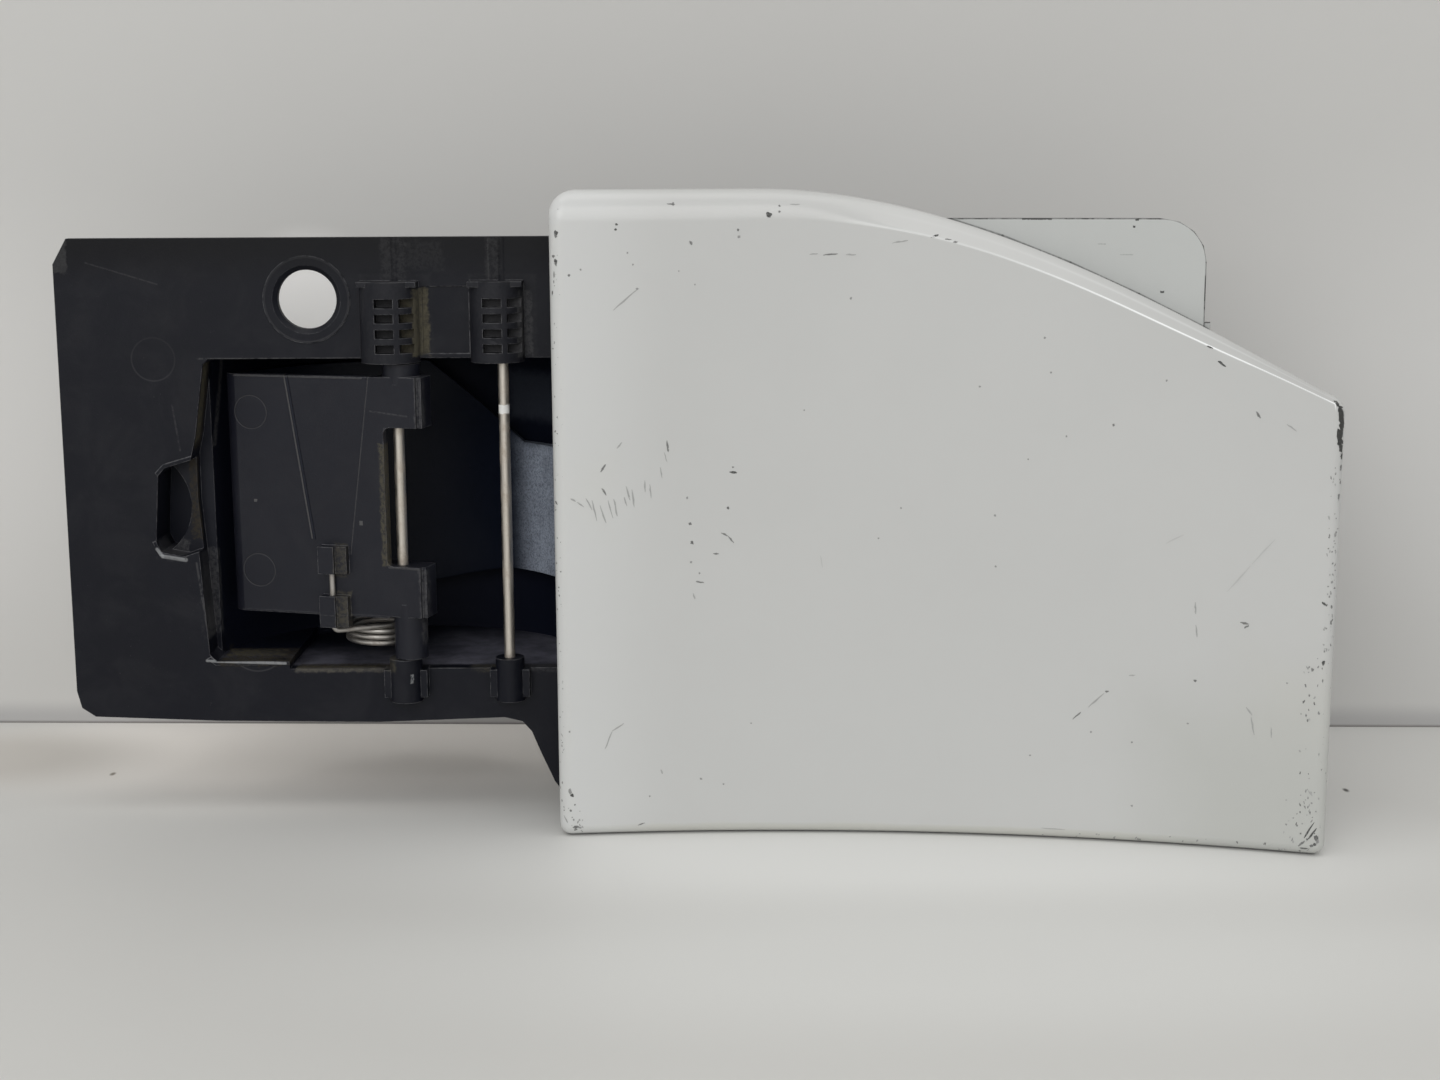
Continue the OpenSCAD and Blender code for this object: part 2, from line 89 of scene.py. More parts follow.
def paintWith(piece, material):
    piece.data.materials.clear()
    piece.data.materials.append(material)


def flatPoint(x, z):
    return (x, 0.0, z)


def shade(colour, share):
    return tuple(c * share for c in colour[:3]) + (1,)


# adds nodes to one tree and wires them by socket name; spot is the place on the part in millimetres
class Board:
    def __init__(self, tree):
        self.tree = tree
        self.column = 0
        self.spot = None

    def add(self, kind, settings=None, **inputs):
        node = self.tree.nodes.new(kind)
        self.column += 1
        row, column = divmod(self.column, nodeGrid["aRow"])
        node.location = (nodeGrid["wide"] * column, -nodeGrid["high"] * row)
        for key, value in (settings or {}).items():
            setattr(node, key, value)
        for key, value in inputs.items():
            self.feed(node, key, value)
        return node

    def feed(self, node, key, value):
        if key.startswith("in"):
            socket = node.inputs[int(key[2:])]
        else:
            socket = node.inputs[key.replace("_", " ")]
        if isinstance(value, bpy.types.NodeSocket):
            self.tree.links.new(value, socket)
        else:
            socket.default_value = value

    def maths(self, operation, a, b=0.0, clamp=False):
        settings = {"operation": operation, "use_clamp": clamp}
        return self.add("ShaderNodeMath", settings, in0=a, in1=b).outputs[0]

    def times(self, a, b):
        return self.maths("MULTIPLY", a, b)

    def timesAdd(self, a, b, c):
        return self.add("ShaderNodeMath", {"operation": "MULTIPLY_ADD"}, in0=a, in1=b, in2=c).outputs[0]

    def vector(self, operation, a, b=(0, 0, 0)):
        node = self.add("ShaderNodeVectorMath", {"operation": operation}, in0=a, in1=b)
        return node.outputs["Value" if operation in ("DOT_PRODUCT", "LENGTH", "DISTANCE") else "Vector"]

    def scale(self, a, share):
        return self.add("ShaderNodeVectorMath", {"operation": "SCALE"}, in0=a, Scale=share).outputs["Vector"]

    def axis(self, index, place=None):
        place = self.spot if place is None else place
        return self.add("ShaderNodeSeparateXYZ", {}, Vector=place).outputs[index]

    def facing(self, index):
        return self.axis(index, self.add("ShaderNodeTexCoord").outputs["Normal"])

    def attribute(self, name):
        return self.add("ShaderNodeAttribute", {"attribute_name": name}).outputs["Fac"]

    def noise(self, scale, detail=2.0, rough=0.5, distort=0.0, place=None):
        place = self.spot if place is None else place
        return self.add("ShaderNodeTexNoise", {}, Vector=place, Scale=scale, Detail=detail, Roughness=rough,
                        Distortion=distort).outputs["Fac"]

    def ramp(self, value, low, high, fromLow=0.0, fromHigh=1.0):
        return self.add("ShaderNodeMapRange", {"interpolation_type": "SMOOTHSTEP"}, Value=value, From_Min=low,
                        From_Max=high, To_Min=fromLow, To_Max=fromHigh).outputs["Result"]

    def mix(self, mask, a, b):
        settings = {"data_type": "RGBA", "clamp_factor": True}
        return self.add("ShaderNodeMix", settings, in0=mask, in6=a, in7=b).outputs[2]

    def mixValue(self, mask, a, b):
        settings = {"data_type": "FLOAT", "clamp_factor": True}
        return self.add("ShaderNodeMix", settings, in0=mask, in2=a, in3=b).outputs[0]

    def tint(self, tone, mask, strength, colour):
        return self.mix(self.times(mask, strength), tone, colour)

    def most(self, *masks):
        result = masks[0]
        for mask in masks[1:]:
            result = self.maths("MAXIMUM", result, mask)
        return result

    def place(self, group, **inputs):
        return self.add("ShaderNodeGroup", {"node_tree": group}, Spot=self.spot, **inputs).outputs

    def mask(self, group, **inputs):
        return self.place(group, **inputs)["Mask"]

    def give(self, label, value):
        self.tree.links.new(value, self.result[label])


# every group takes Spot beside its own inputs
def newGroup(name, inputs, outputs):
    tree = bpy.data.node_groups.new(name, "ShaderNodeTree")
    for label, value in {"Spot": (0, 0, 0), **inputs}.items():
        kind = "NodeSocketVector" if isinstance(value, tuple) else "NodeSocketFloat"
        tree.interface.new_socket(label, in_out="INPUT", socket_type=kind).default_value = value
    for label in outputs:
        kind = "NodeSocketVector" if label == "Normal" else "NodeSocketFloat"
        tree.interface.new_socket(label, in_out="OUTPUT", socket_type=kind)
    board = Board(tree)
    board.result = tree.nodes.new("NodeGroupOutput").inputs
    given = tree.nodes.new("NodeGroupInput").outputs
    board.spot = given["Spot"]
    return board, given


def newMaterial(name):
    material = bpy.data.materials.new(name)
    material.use_nodes = True
    tree = material.node_tree
    tree.nodes.clear()
    board = Board(tree)
    out = board.add("ShaderNodeOutputMaterial")
    skin = board.add("ShaderNodeBsdfPrincipled")
    tree.links.new(skin.outputs[0], out.inputs["Surface"])
    board.spot = board.scale(board.add("ShaderNodeTexCoord").outputs["Object"], 1 / milli)
    return material, board, skin


# colour, gloss and fine relief into the material's shader
def finishSkin(board, skin, tone, rough, height, strength, depth, normal=None):
    bump = board.add("ShaderNodeBump", {}, Strength=strength, Distance=depth, Height=height)
    if normal is not None:
        board.feed(bump, "Normal", normal)
    board.feed(skin, "Base Color", tone)
    board.feed(skin, "Roughness", rough)
    board.feed(skin, "Normal", bump.outputs[0])


# where a spot lies inside a box, with a soft ragged border
board, given = newGroup("patchMask", {"Centre": (0, 0, 0), "Half": (1, 1, 1), "Soft": 1.0, "Ragged": 1.0,
                                      "Size": 1.0}, ["Mask"])
away = board.vector("ABSOLUTE", board.vector("SUBTRACT", board.spot, given["Centre"]))
away = board.vector("SUBTRACT", away, given["Half"])
far = board.most(*(board.axis(i, away) for i in range(3)))
wander = board.maths("SUBTRACT", board.noise(given["Size"], 3.0, 0.6), 0.5)
far = board.maths("DIVIDE", board.timesAdd(wander, given["Ragged"], far), given["Soft"])
board.give("Mask", board.ramp(far, 0.0, 1.0, 1.0, 0.0))
patchMask = board.tree

flatView = (1, 0, 1)  # keeps X and Z, so that a mark reaches through the part from the front

# a line from Start to End in the X-Z view, with breaks where the noise is low
board, given = newGroup("lineMask", {"Start": (0, 0, 0), "End": (1, 0, 1), "Width": 0.3,
                                     "Broken": 0.3}, ["Mask"])
run = board.vector("SUBTRACT", given["End"], given["Start"])
away = board.vector("SUBTRACT", board.vector("MULTIPLY", board.spot, flatView), given["Start"])
along = board.maths("DIVIDE", board.vector("DOT_PRODUCT", away, run), board.vector("DOT_PRODUCT", run, run),
                    clamp=True)
gap = board.maths("DIVIDE", board.vector("DISTANCE", away, board.scale(run, along)), given["Width"])
breaks = board.ramp(board.noise(0.9, 3.0, 0.7), 0.35, 0.55)
whole = board.mixValue(given["Broken"], 1.0, breaks)
board.give("Mask", board.times(board.ramp(gap, 0.4, 1.0, 1.0, 0.0), whole))
lineMask = board.tree

# a ring in the X-Z view, used for ejector pins' rings and for the painted highlight round the fixing hole
board, given = newGroup("ringMask", {"Centre": (0, 0, 0), "Radius": 4.0, "Line": 0.3}, ["Line", "Disc"])
gap = board.vector("DISTANCE", board.vector("MULTIPLY", board.spot, flatView), given["Centre"])
inner = board.maths("SUBTRACT", gap, given["Radius"])
line = board.maths("DIVIDE", board.maths("ABSOLUTE", inner), given["Line"])
board.give("Line", board.ramp(line, 0.3, 1.0, 1.0, 0.0))
board.give("Disc", board.ramp(inner, -0.3, 0.3, 1.0, 0.0))
ringMask = board.tree

# rounded edges for the light, and a patchy mask that follows them
board, given = newGroup("softEdges", {"Radius": 0.0004}, ["Normal", "Edge"])
bevel = board.add("ShaderNodeBevel", {"samples": 6}, Radius=given["Radius"]).outputs[0]
meet = board.vector("DOT_PRODUCT", bevel, board.add("ShaderNodeNewGeometry").outputs["Normal"])
edge = board.ramp(board.maths("SUBTRACT", 1.0, meet), 0.02, 0.2)
board.give("Normal", bevel)
board.give("Edge", board.times(edge, board.ramp(board.noise(0.45, 4.0, 0.75), 0.36, 0.58)))
softEdges = board.tree

# moulded grain: fine height plus a slow change of gloss
board, given = newGroup("mouldGrain", {"Fine": 3.0, "Slow": 0.05}, ["Height", "Gloss"])
flow = board.noise(given["Slow"], 4.0, 0.6, 0.4)
board.give("Height", board.timesAdd(flow, 0.8, board.times(board.noise(given["Fine"], 3.0, 0.6), 0.5)))
board.give("Gloss", flow)
mouldGrain = board.tree

# dust: a film that is thicker on faces that look up, and specks
board, given = newGroup("dustFilm", {"Amount": 0.5}, ["Film", "Specks"])
clouds = board.ramp(board.noise(0.06, 5.0, 0.65, 0.6), 0.4, 0.7)
film = board.times(board.timesAdd(board.ramp(board.facing(2), 0.0, 1.0), 0.8, 0.2), clouds)
specks = board.ramp(board.noise(1.1, 2.0, 0.9), 0.70, 0.76)
board.give("Film", board.times(film, given["Amount"]))
board.give("Specks", board.times(specks, given["Amount"]))
dustFilm = board.tree

# a ragged patch broken up into crumbs
board, given = newGroup("crumble", {"Centre": (0, 0, 0), "Half": (1, 1, 1), "Soft": 1.0, "Ragged": 2.0,
                                    "Holes": 0.5}, ["Mask"])
body = board.mask(patchMask, Centre=given["Centre"], Half=given["Half"], Soft=given["Soft"],
                  Ragged=given["Ragged"], Size=0.55)
crumbs = board.ramp(board.noise(0.9, 5.0, 0.8), 0.42, 0.56)
board.give("Mask", board.times(body, board.mixValue(given["Holes"], 1.0, crumbs)))
crumble = board.tree

# round pool that fades out at the given radii
board, given = newGroup("poolMask", {"Centre": (0, 0, 0), "Radii": (1, 1, 1)}, ["Mask"])
away = board.vector("SUBTRACT", board.spot, given["Centre"])
far = board.vector("LENGTH", board.vector("DIVIDE", away, given["Radii"]))
board.give("Mask", board.ramp(far, 0.25, 1.0, 1.0, 0.0))
poolMask = board.tree
print("shader groups built")


blackPlastic = {
    "housing": (0.0034, 0.0040, 0.0078, 1), "arm": (0.0062, 0.0068, 0.0120, 1),
    # the pocket tone is a painted shade tone, lighter and bluer, for the deep pocket and the arm's groove;
    # the arm-back tone is painted shade where the arm goes back
    "pocket": (0.0052, 0.0068, 0.0150, 1), "armBackShade": (0.0006, 0.0028, 0.0110, 1),
    "dust": (0.085, 0.084, 0.086, 1), "dirt": (0.085, 0.076, 0.052, 1), "brown": (0.036, 0.030, 0.021, 1),
    # the pale bluish floor tone on the next line is partly dust, partly painted light where the pocket's
    # floor is lit
    "floorDustAndLight": (0.150, 0.150, 0.185, 1), "edge": (0.20, 0.20, 0.21, 1), "break": (0.030, 0.030, 0.032, 1),
    # the rim tone on the next line is a painted highlight, for the lips and the lower cup
    "topShade": (0.0002, 0.0003, 0.0014, 1), "rim": (0.42, 0.43, 0.44, 1),
    "overspray": (0.46, 0.515, 0.62, 1), "roughness": 0.45, "dirtyRoughness": 0.92, "rimRoughness": 0.3,
    "edgeRadius": 0.0004, "relief": 0.00006, "housingDust": 0.30, "armDust": 0.20,
    "housingShine": 0.20, "armShine": 0.31,
    # where a shade begins and where it is full
    "pocketShadeY": (2.0, 16.0), "armBackShadeY": (5.5, 12.0), "armFrontY": (8.0, 6.0), "outsideY": (-2.5, -2.9),
    "topShadeZ": (2.0, 17.0), "topShadeY": (0.0, -2.0), "floorY": (0.0, 3.0), "leftDustAndLightY": (34.0, 10.0),
    "rightDustAndLightX": (20.0, 34.0), "rightDustAndLightY": (52.0, 30.0),
    "stepZ": (-103.6, -103.0), "stepDustAndLightY": (14.0, 8.0),
}


# black moulded plastic: gives back its board, colour, gloss and height, so that each part adds its own marks
def moulding(name, base, dustAmount):
    material, board, skin = newMaterial(name)
    grain = board.place(mouldGrain, Fine=2.2, Slow=0.045)
    dust = board.place(dustFilm, Amount=dustAmount)
    edges = board.place(softEdges, Radius=blackPlastic["edgeRadius"])
    tone = board.mix(grain["Gloss"], base, shade(base, 1.3))
    tone = board.mix(dust["Film"], tone, blackPlastic["dust"])
    tone = board.tint(tone, dust["Specks"], 0.6, blackPlastic["dust"])
    # edges painted lighter: partly dust and wear, partly a painted highlight
    tone = board.tint(tone, edges["Edge"], 0.85, blackPlastic["edge"])
    rough = board.timesAdd(grain["Gloss"], 0.22, blackPlastic["roughness"] - 0.1)
    rough = board.mixValue(dust["Film"], rough, 0.8)
    return material, board, skin, tone, rough, grain["Height"], edges["Normal"]


def finishMoulding(board, skin, tone, rough, height, normal, shine):
    finishSkin(board, skin, tone, rough, height, 1.0, blackPlastic["relief"], normal)
    skin.inputs["Specular IOR Level"].default_value = shine


housingMarks = {
    # centre, half sizes, soft, ragged, holes, strength, tone
    "dirt": [
        ((31.7, -6.0, -6.2), (1.5, 4.4, 8.8), 0.8, 2.6, 0.45, 1.0, "dirt"),
        ((28.3, -6.4, -7.4), (2.2, 1.4, 8.0), 0.3, 1.4, 0.35, 1.0, "dirt"),
        # the next two rows are painted light on the cage windows' floors, in the dust colour, lifting their
        # shade
        ((22.3, -6.6, -7.4), (2.8, 0.8, 8.2), 0.3, 0.6, 0.3, 0.40, "dust"),
        ((54.0, -6.4, -7.4), (6.0, 1.2, 8.2), 0.3, 0.6, 0.3, 0.45, "dust"),
        ((-31.3, 1.6, -30.5), (1.8, 3.6, 13.5), 0.6, 2.2, 0.6, 0.85, "brown"),
        ((-34.2, 1.6, -56.5), (1.7, 3.0, 11.5), 0.6, 2.6, 0.8, 0.8, "brown"),
        ((-34.6, -1.6, -58.0), (1.5, 0.6, 9.5), 0.5, 1.8, 0.9, 0.6, "dirt"),
        ((-31.2, 0.6, -31.0), (1.6, 2.2, 13.0), 0.5, 1.6, 0.75, 0.9, "dirt"),
        ((6.5, -0.6, -104.4), (13.0, 3.0, 1.1), 0.6, 2.4, 0.6, 0.85, "brown"),
        ((4.0, -1.6, -104.4), (11.0, 1.5, 0.9), 0.5, 2.2, 0.8, 0.75, "dirt"),
        ((-41.0, 3.0, -70.4), (3.2, 5.0, 2.0), 1.0, 3.0, 0.7, 0.5, "dust"),
        ((-31.0, 3.0, -84.0), (1.6, 5.0, 12.0), 1.0, 2.4, 0.85, 0.45, "dust"),
        ((-18.0, 5.0, -102.6), (10.5, 8.0, 0.9), 0.8, 3.0, 0.9, 0.9, "brown"),
        ((-20.0, 8.0, -102.6), (8.0, 3.5, 0.9), 0.8, 3.4, 0.9, 0.8, "dirt"),
        ((18.5, -6.0, -102.6), (3.2, 4.0, 1.6), 1.0, 2.4, 0.8, 0.5, "dirt"),
        ((47.0, -1.0, -104.4), (4.0, 1.8, 0.9), 1.0, 2.4, 0.8, 0.4, "dirt"),
        ((62.5, -1.0, -104.4), (4.0, 1.8, 0.9), 1.0, 2.4, 0.8, 0.4, "dust"),
        ((60.4, -6.0, -6.5), (1.3, 5.0, 8.5), 0.8, 2.4, 0.8, 0.45, "dust"),
    ],
    "scuffs": [
        ((24.2, -3.0, 11.3), (3.0, 2.0, 5.0), 1.0, 2.6, 0.9, 0.20, "dust"),
        ((58.0, 40.0, -32.0), (5.0, 6.0, 5.0), 4.0, 3.0, 0.1, 0.06, "overspray"),
        ((24.5, -9.0, -6.0), (9.0, 5.5, 12.0), 1.5, 2.0, 0.4, 0.12, "dust"),
        ((54.0, -9.0, -6.0), (8.5, 5.5, 12.0), 1.5, 2.0, 0.4, 0.12, "dust"),
        ((51.6, -3.0, 11.3), (1.7, 2.0, 5.4), 0.8, 2.4, 0.85, 0.22, "dust"),
        # the next two rows lighten the lower lip's front: partly dust, partly painted highlight
        ((6.5, -3.0, -104.9), (13.4, 1.0, 0.6), 0.7, 1.0, 0.4, 0.45, "dust"),
        ((38.8, -3.0, -103.8), (7.5, 1.0, 0.6), 0.7, 0.8, 0.3, 0.30, "dust"),
        # the next row is a painted highlight down the lower cup's side
        ((26.6, -9.0, -106.6), (0.3, 3.0, 1.2), 0.2, 1.4, 0.9, 0.45, "rim"),
        ((33.0, -3.0, 12.0), (4.0, 2.0, 3.0), 2.0, 4.0, 0.95, 0.12, "dust"),
    ],
    "brokenCorner": {"Centre": (-68.0, -3.0, 12.5), "Half": (2.0, 6.0, 4.5), "Soft": 0.8, "Ragged": 3.0,
                     "Holes": 0.3},
    # ends x z x z, width, breaks, brightness: pale lines in the dust colour; those along the opening's top
    # and left edges and the ledge's lip are painted highlights
    "lines": [
        ((-60.4, 10.4, -41.0, 4.4), 0.28, 0.9, 0.22), ((-38.6, -29.1, -37.0, -41.8), 0.35, 0.8, 0.25),
        ((15.4, -101.2, -7.0, -104.0), 0.35, 0.9, 0.15), ((50.4, 5.3, 50.4, 16.4), 0.22, 0.5, 0.25),
        ((-31.0, -16.2, 14.0, -16.2), 0.34, 0.85, 0.45), ((-28.2, -18.0, -30.0, -42.0), 0.42, 0.9, 0.55),
        ((-34.0, -74.0, -31.6, -96.0), 0.40, 0.9, 0.40),
    ],
    # ends, width: lips painted bright as a highlight, with lower roughness as on worn plastic
    "rims": [
        ((-44.9, -69.9, -43.4, -71.9), 0.7), ((-43.4, -71.9, -37.0, -73.0), 0.8),
        ((-32.4, -102.3, -10.1, -103.1), 0.55),
    ],
    # rings: x, z, radius, brightness; the first two are ejector rings, the last, round the fixing hole, is a
    # painted highlight on its raised edge
    "rings": [(-43.2, -16.3, 6.0, 0.12), (-17.9, -97.0, 8.4, 0.22), (0, 0, 11.6, 0.16)], "ringLine": 0.32,
}


def addPatches(board, tone, rough, rows):
    for centre, half, softness, ragged, holes, strength, kind in rows:
        mask = board.mask(crumble, Centre=centre, Half=half, Soft=softness, Ragged=ragged, Holes=holes)
        mask = board.times(mask, strength)
        tone = board.mix(mask, tone, blackPlastic[kind])
        rough = board.mixValue(mask, rough, blackPlastic["dirtyRoughness"])
    return tone, rough


def drawLine(board, ends, width, breaks):
    x0, z0, x1, z1 = ends
    return board.mask(lineMask, Start=flatPoint(x0, z0), End=flatPoint(x1, z1), Width=width, Broken=breaks)


def housingPlastic():
    material, board, skin, tone, rough, height, normal = moulding(
        "housing_plastic", blackPlastic["housing"], blackPlastic["housingDust"])
    across, deep, up = (board.axis(i) for i in range(3))
    # painted shade: deeper in the pocket the plastic takes a bluer tone, the colour of its shade
    tone = board.mix(board.ramp(deep, *blackPlastic["pocketShadeY"]), tone, blackPlastic["pocket"])

    # a paler tone on the pocket's floor, partly dust and partly painted light where the floor is lit,
    # reaching further back at the right, thin above the lowest level and fading out where the floor's shade
    # begins
    floorDustAndLight = board.times(board.ramp(board.facing(2), 0.5, 0.9), board.ramp(deep, *blackPlastic["floorY"]))
    left, right = (board.ramp(deep, *blackPlastic[key]) for key in ("leftDustAndLightY", "rightDustAndLightY"))
    step = board.ramp(deep, *blackPlastic["stepDustAndLightY"], 0.0, 0.2)
    reach = board.mixValue(board.ramp(across, *blackPlastic["rightDustAndLightX"]), left, right)
    reach = board.mixValue(board.ramp(up, *blackPlastic["stepZ"]), reach, step)
    clouds = board.ramp(board.noise(0.12, 4.0, 0.7), 0.3, 0.7, 0.35, 0.9)
    tone = board.mix(board.times(board.times(floorDustAndLight, reach), clouds), tone, blackPlastic["floorDustAndLight"])

    high = board.ramp(up, *blackPlastic["topShadeZ"])
    high = board.times(high, board.ramp(deep, *blackPlastic["topShadeY"]))
    tone = board.tint(tone, high, 0.85, blackPlastic["topShade"])
    tone, rough = addPatches(board, tone, rough, housingMarks["dirt"] + housingMarks["scuffs"])
    tone = board.tint(tone, board.mask(crumble, **housingMarks["brokenCorner"]), 0.9, blackPlastic["break"])

    outside = board.ramp(deep, *blackPlastic["outsideY"])
    # ring lines: ejector marks, and round the fixing hole a painted highlight
    for x, z, radius, bright in housingMarks["rings"]:
        ring = board.place(ringMask, Centre=flatPoint(x, z), Radius=radius, Line=housingMarks["ringLine"])
        height = board.timesAdd(board.times(ring["Disc"], outside), -0.8, height)
        tone = board.tint(tone, board.times(ring["Line"], outside), bright, blackPlastic["dust"])
    # pale lines: those along the opening's edges and the ledge's lip are painted highlights
    for ends, width, breaks, bright in housingMarks["lines"]:
        tone = board.tint(tone, drawLine(board, ends, width, breaks), bright, blackPlastic["dust"])
    # painted highlight on the lips, with lower roughness
    for ends, width in housingMarks["rims"]:
        mask = board.times(drawLine(board, ends, width, 0.2), outside)
        tone = board.tint(tone, mask, 0.5, blackPlastic["rim"])
        rough = board.mixValue(mask, rough, blackPlastic["rimRoughness"])
    finishMoulding(board, skin, tone, rough, height, normal, blackPlastic["housingShine"])
    return material


armMarks = {
    # ends x z x z, width, breaks, brightness (below 0 is a dark groove), height; the first three rows are the
    # V-lines, a ridge painted lighter as a highlight with painted shade in the groove beside it, the other
    # rows pale lines along edges
    "lines": [
        ((-7.75, -21.0, -1.25, -67.1), 0.34, 0.2, 0.80, 3.0),
        ((-7.05, -21.0, -0.55, -67.1), 0.50, 0.1, -1.0, -6.0),
        ((16.8, -21.0, 10.0, -71.2), 0.26, 0.4, 0.45, 2.0),
        ((-22.6, -21.5, 14.8, -21.5), 0.42, 0.3, 0.50, 2.0),
        ((-23.0, -88.6, 20.0, -88.6), 0.24, 0.85, 0.20, 1.0),
        ((20.9, -35.4, 20.6, -74.0), 0.40, 0.6, 0.34, 1.0),
        ((31.2, -22.0, 31.0, -34.0), 0.26, 0.6, 0.30, 1.0),
        ((31.2, -75.0, 31.0, -96.0), 0.26, 0.6, 0.30, 1.0),
        ((17.0, -30.6, 27.5, -31.8), 0.34, 0.9, 0.30, 0.5),
        ((21.5, -35.6, 30.6, -35.4), 0.34, 0.5, 0.40, 1.0),
        ((21.0, -74.6, 30.6, -74.8), 0.34, 0.5, 0.40, 1.0),
    ],
    "rings": [(-18.0, -31.8, 4.7), (-17.4, -77.0, 4.7)], "ringLine": 0.26,  # x, z, radius
    # centre, half sizes, soft, ragged, holes, strength, tone
    "patches": [
        ((20.4, -6.0, -57.0), (0.9, 4.0, 17.0), 0.6, 1.8, 0.75, 0.75, "dirt"),
        ((7.2, -7.0, -73.0), (1.6, 4.0, 4.5), 0.8, 2.6, 0.9, 0.4, "dirt"),
        ((7.6, -7.0, -87.5), (1.8, 4.0, 5.0), 0.8, 2.8, 0.85, 0.5, "dirt"),
        ((31.0, -8.0, -28.0), (0.9, 4.0, 6.5), 0.6, 1.8, 0.9, 0.5, "dust"),
        ((31.0, -8.0, -86.0), (1.0, 4.0, 10.5), 0.6, 1.8, 0.9, 0.5, "dust"),
        ((13.3, -6.0, -62.2), (0.35, 2.0, 0.5), 0.2, 0.5, 0.2, 2.0, "dust"),
        ((-17.7, 2.5, -57.0), (0.35, 2.0, 0.3), 0.2, 0.5, 0.2, 2.0, "dust"),
    ],
    # overspray at the front end, fading out towards the hinge
    "spray": {"Centre": (66.0, 14.0, -66.0), "Half": (10.5, 24.0, 19.0), "Soft": 6.0, "Ragged": 6.0,
              "Size": 0.10},
    "sprayX": (51.0, 62.0),
}


def armPlastic():
    material, board, skin, tone, rough, height, normal = moulding(
        "arm_plastic", blackPlastic["arm"], blackPlastic["armDust"])
    deep = board.axis(1)
    # painted shade: where the arm goes back into the pocket it turns darker and bluer
    tone = board.mix(board.ramp(deep, *blackPlastic["armBackShadeY"]), tone, blackPlastic["armBackShade"])
    front = board.ramp(deep, *blackPlastic["armFrontY"])
    for ends, width, breaks, bright, rise in armMarks["lines"]:
        mask = board.times(drawLine(board, ends, width, breaks), front)
        height = board.timesAdd(mask, rise, height)
        # bright lines: painted highlights on the V-line ridges and pale lines along other edges; the groove
        # gets painted shade
        if bright > 0:
            tone = board.tint(tone, mask, bright, blackPlastic["dust"])
        else:
            tone = board.mix(mask, tone, blackPlastic["pocket"])
    for x, z, radius in armMarks["rings"]:
        ring = board.place(ringMask, Centre=flatPoint(x, z), Radius=radius, Line=armMarks["ringLine"])
        line = board.times(ring["Line"], front)
        height = board.timesAdd(line, -2.0, height)
        tone = board.tint(tone, line, 0.34, blackPlastic["dust"])
    spray = board.mask(patchMask, **armMarks["spray"])
    spray = board.times(spray, board.ramp(board.noise(1.6, 3.0, 0.85), 0.25, 0.66, 0.3, 1.0))
    spray = board.times(spray, board.ramp(board.noise(0.13, 3.0, 0.6), 0.3, 0.6, 0.78, 1.0))
    spray = board.times(spray, board.ramp(board.axis(0), *armMarks["sprayX"], 0.15, 1.0))
    tone = board.tint(tone, spray, 0.95, blackPlastic["overspray"])
    tone, rough = addPatches(board, tone, rough, armMarks["patches"])
    finishMoulding(board, skin, tone, rough, height, normal, blackPlastic["armShine"])
    return material


paint = {
    "colour": (0.560, 0.563, 0.552, 1), "grime": (0.545, 0.540, 0.480, 1), "bare": (0.018, 0.018, 0.019, 1),
    # line is the colour of the painted highlight along the crease
    "line": (0.93, 0.95, 0.95, 1), "mark": (0.036, 0.037, 0.035, 1), "foot": (0.07, 0.07, 0.066, 1),
    # painted light: the first tone on the next line pales the cover's left part
    "pale": (0.625, 0.632, 0.625, 1), "dull": (0.495, 0.502, 0.478, 1),
    "roughness": 0.36, "coat": 0.28, "coatRoughness": 0.12, "relief": 0.00006,
    # the foot tone and the footZ range on the next line: painted shadow along the bottom edge, where the
    # cover stands on the floor
    "paleX": (104.0, 71.0), "creaseHighlightX": (175.0, 235.0), "footZ": (-145.9, -146.4),
    # yellowish handling marks along the edges: centre, half, soft, ragged, size, strength
    "handled": [
        ((76, -20, -52), (1, 20, 3), 12.0, 14.0, 0.06, 0.4),
        ((272, -30, -118), (1, 30, 8), 30.0, 26.0, 0.03, 0.3),
        ((70, -20, -60), (1.5, 20, 80), 2.0, 3.0, 0.1, 0.5),
        ((170, -20, -146), (100, 20, 1.5), 1.5, 2.0, 0.1, 0.5),
    ],
    # painted shade at the cover's lower right: this patch and the darker tone it paints
    "dullPatch": {"Centre": (262, -30, -138), "Half": (8, 30, 6), "Soft": 42.0, "Ragged": 20.0, "Size": 0.03},
    # centre, half, soft: rims where small specks are worn bare
    "wornRims": [((274.6, -50, -85), (0.9, 14, 56), 1.2), ((70.2, -27, -50), (1.2, 8, 80), 1.2),
                 ((255, -45, -145.6), (18, 14, 1.0), 0.8)],
}


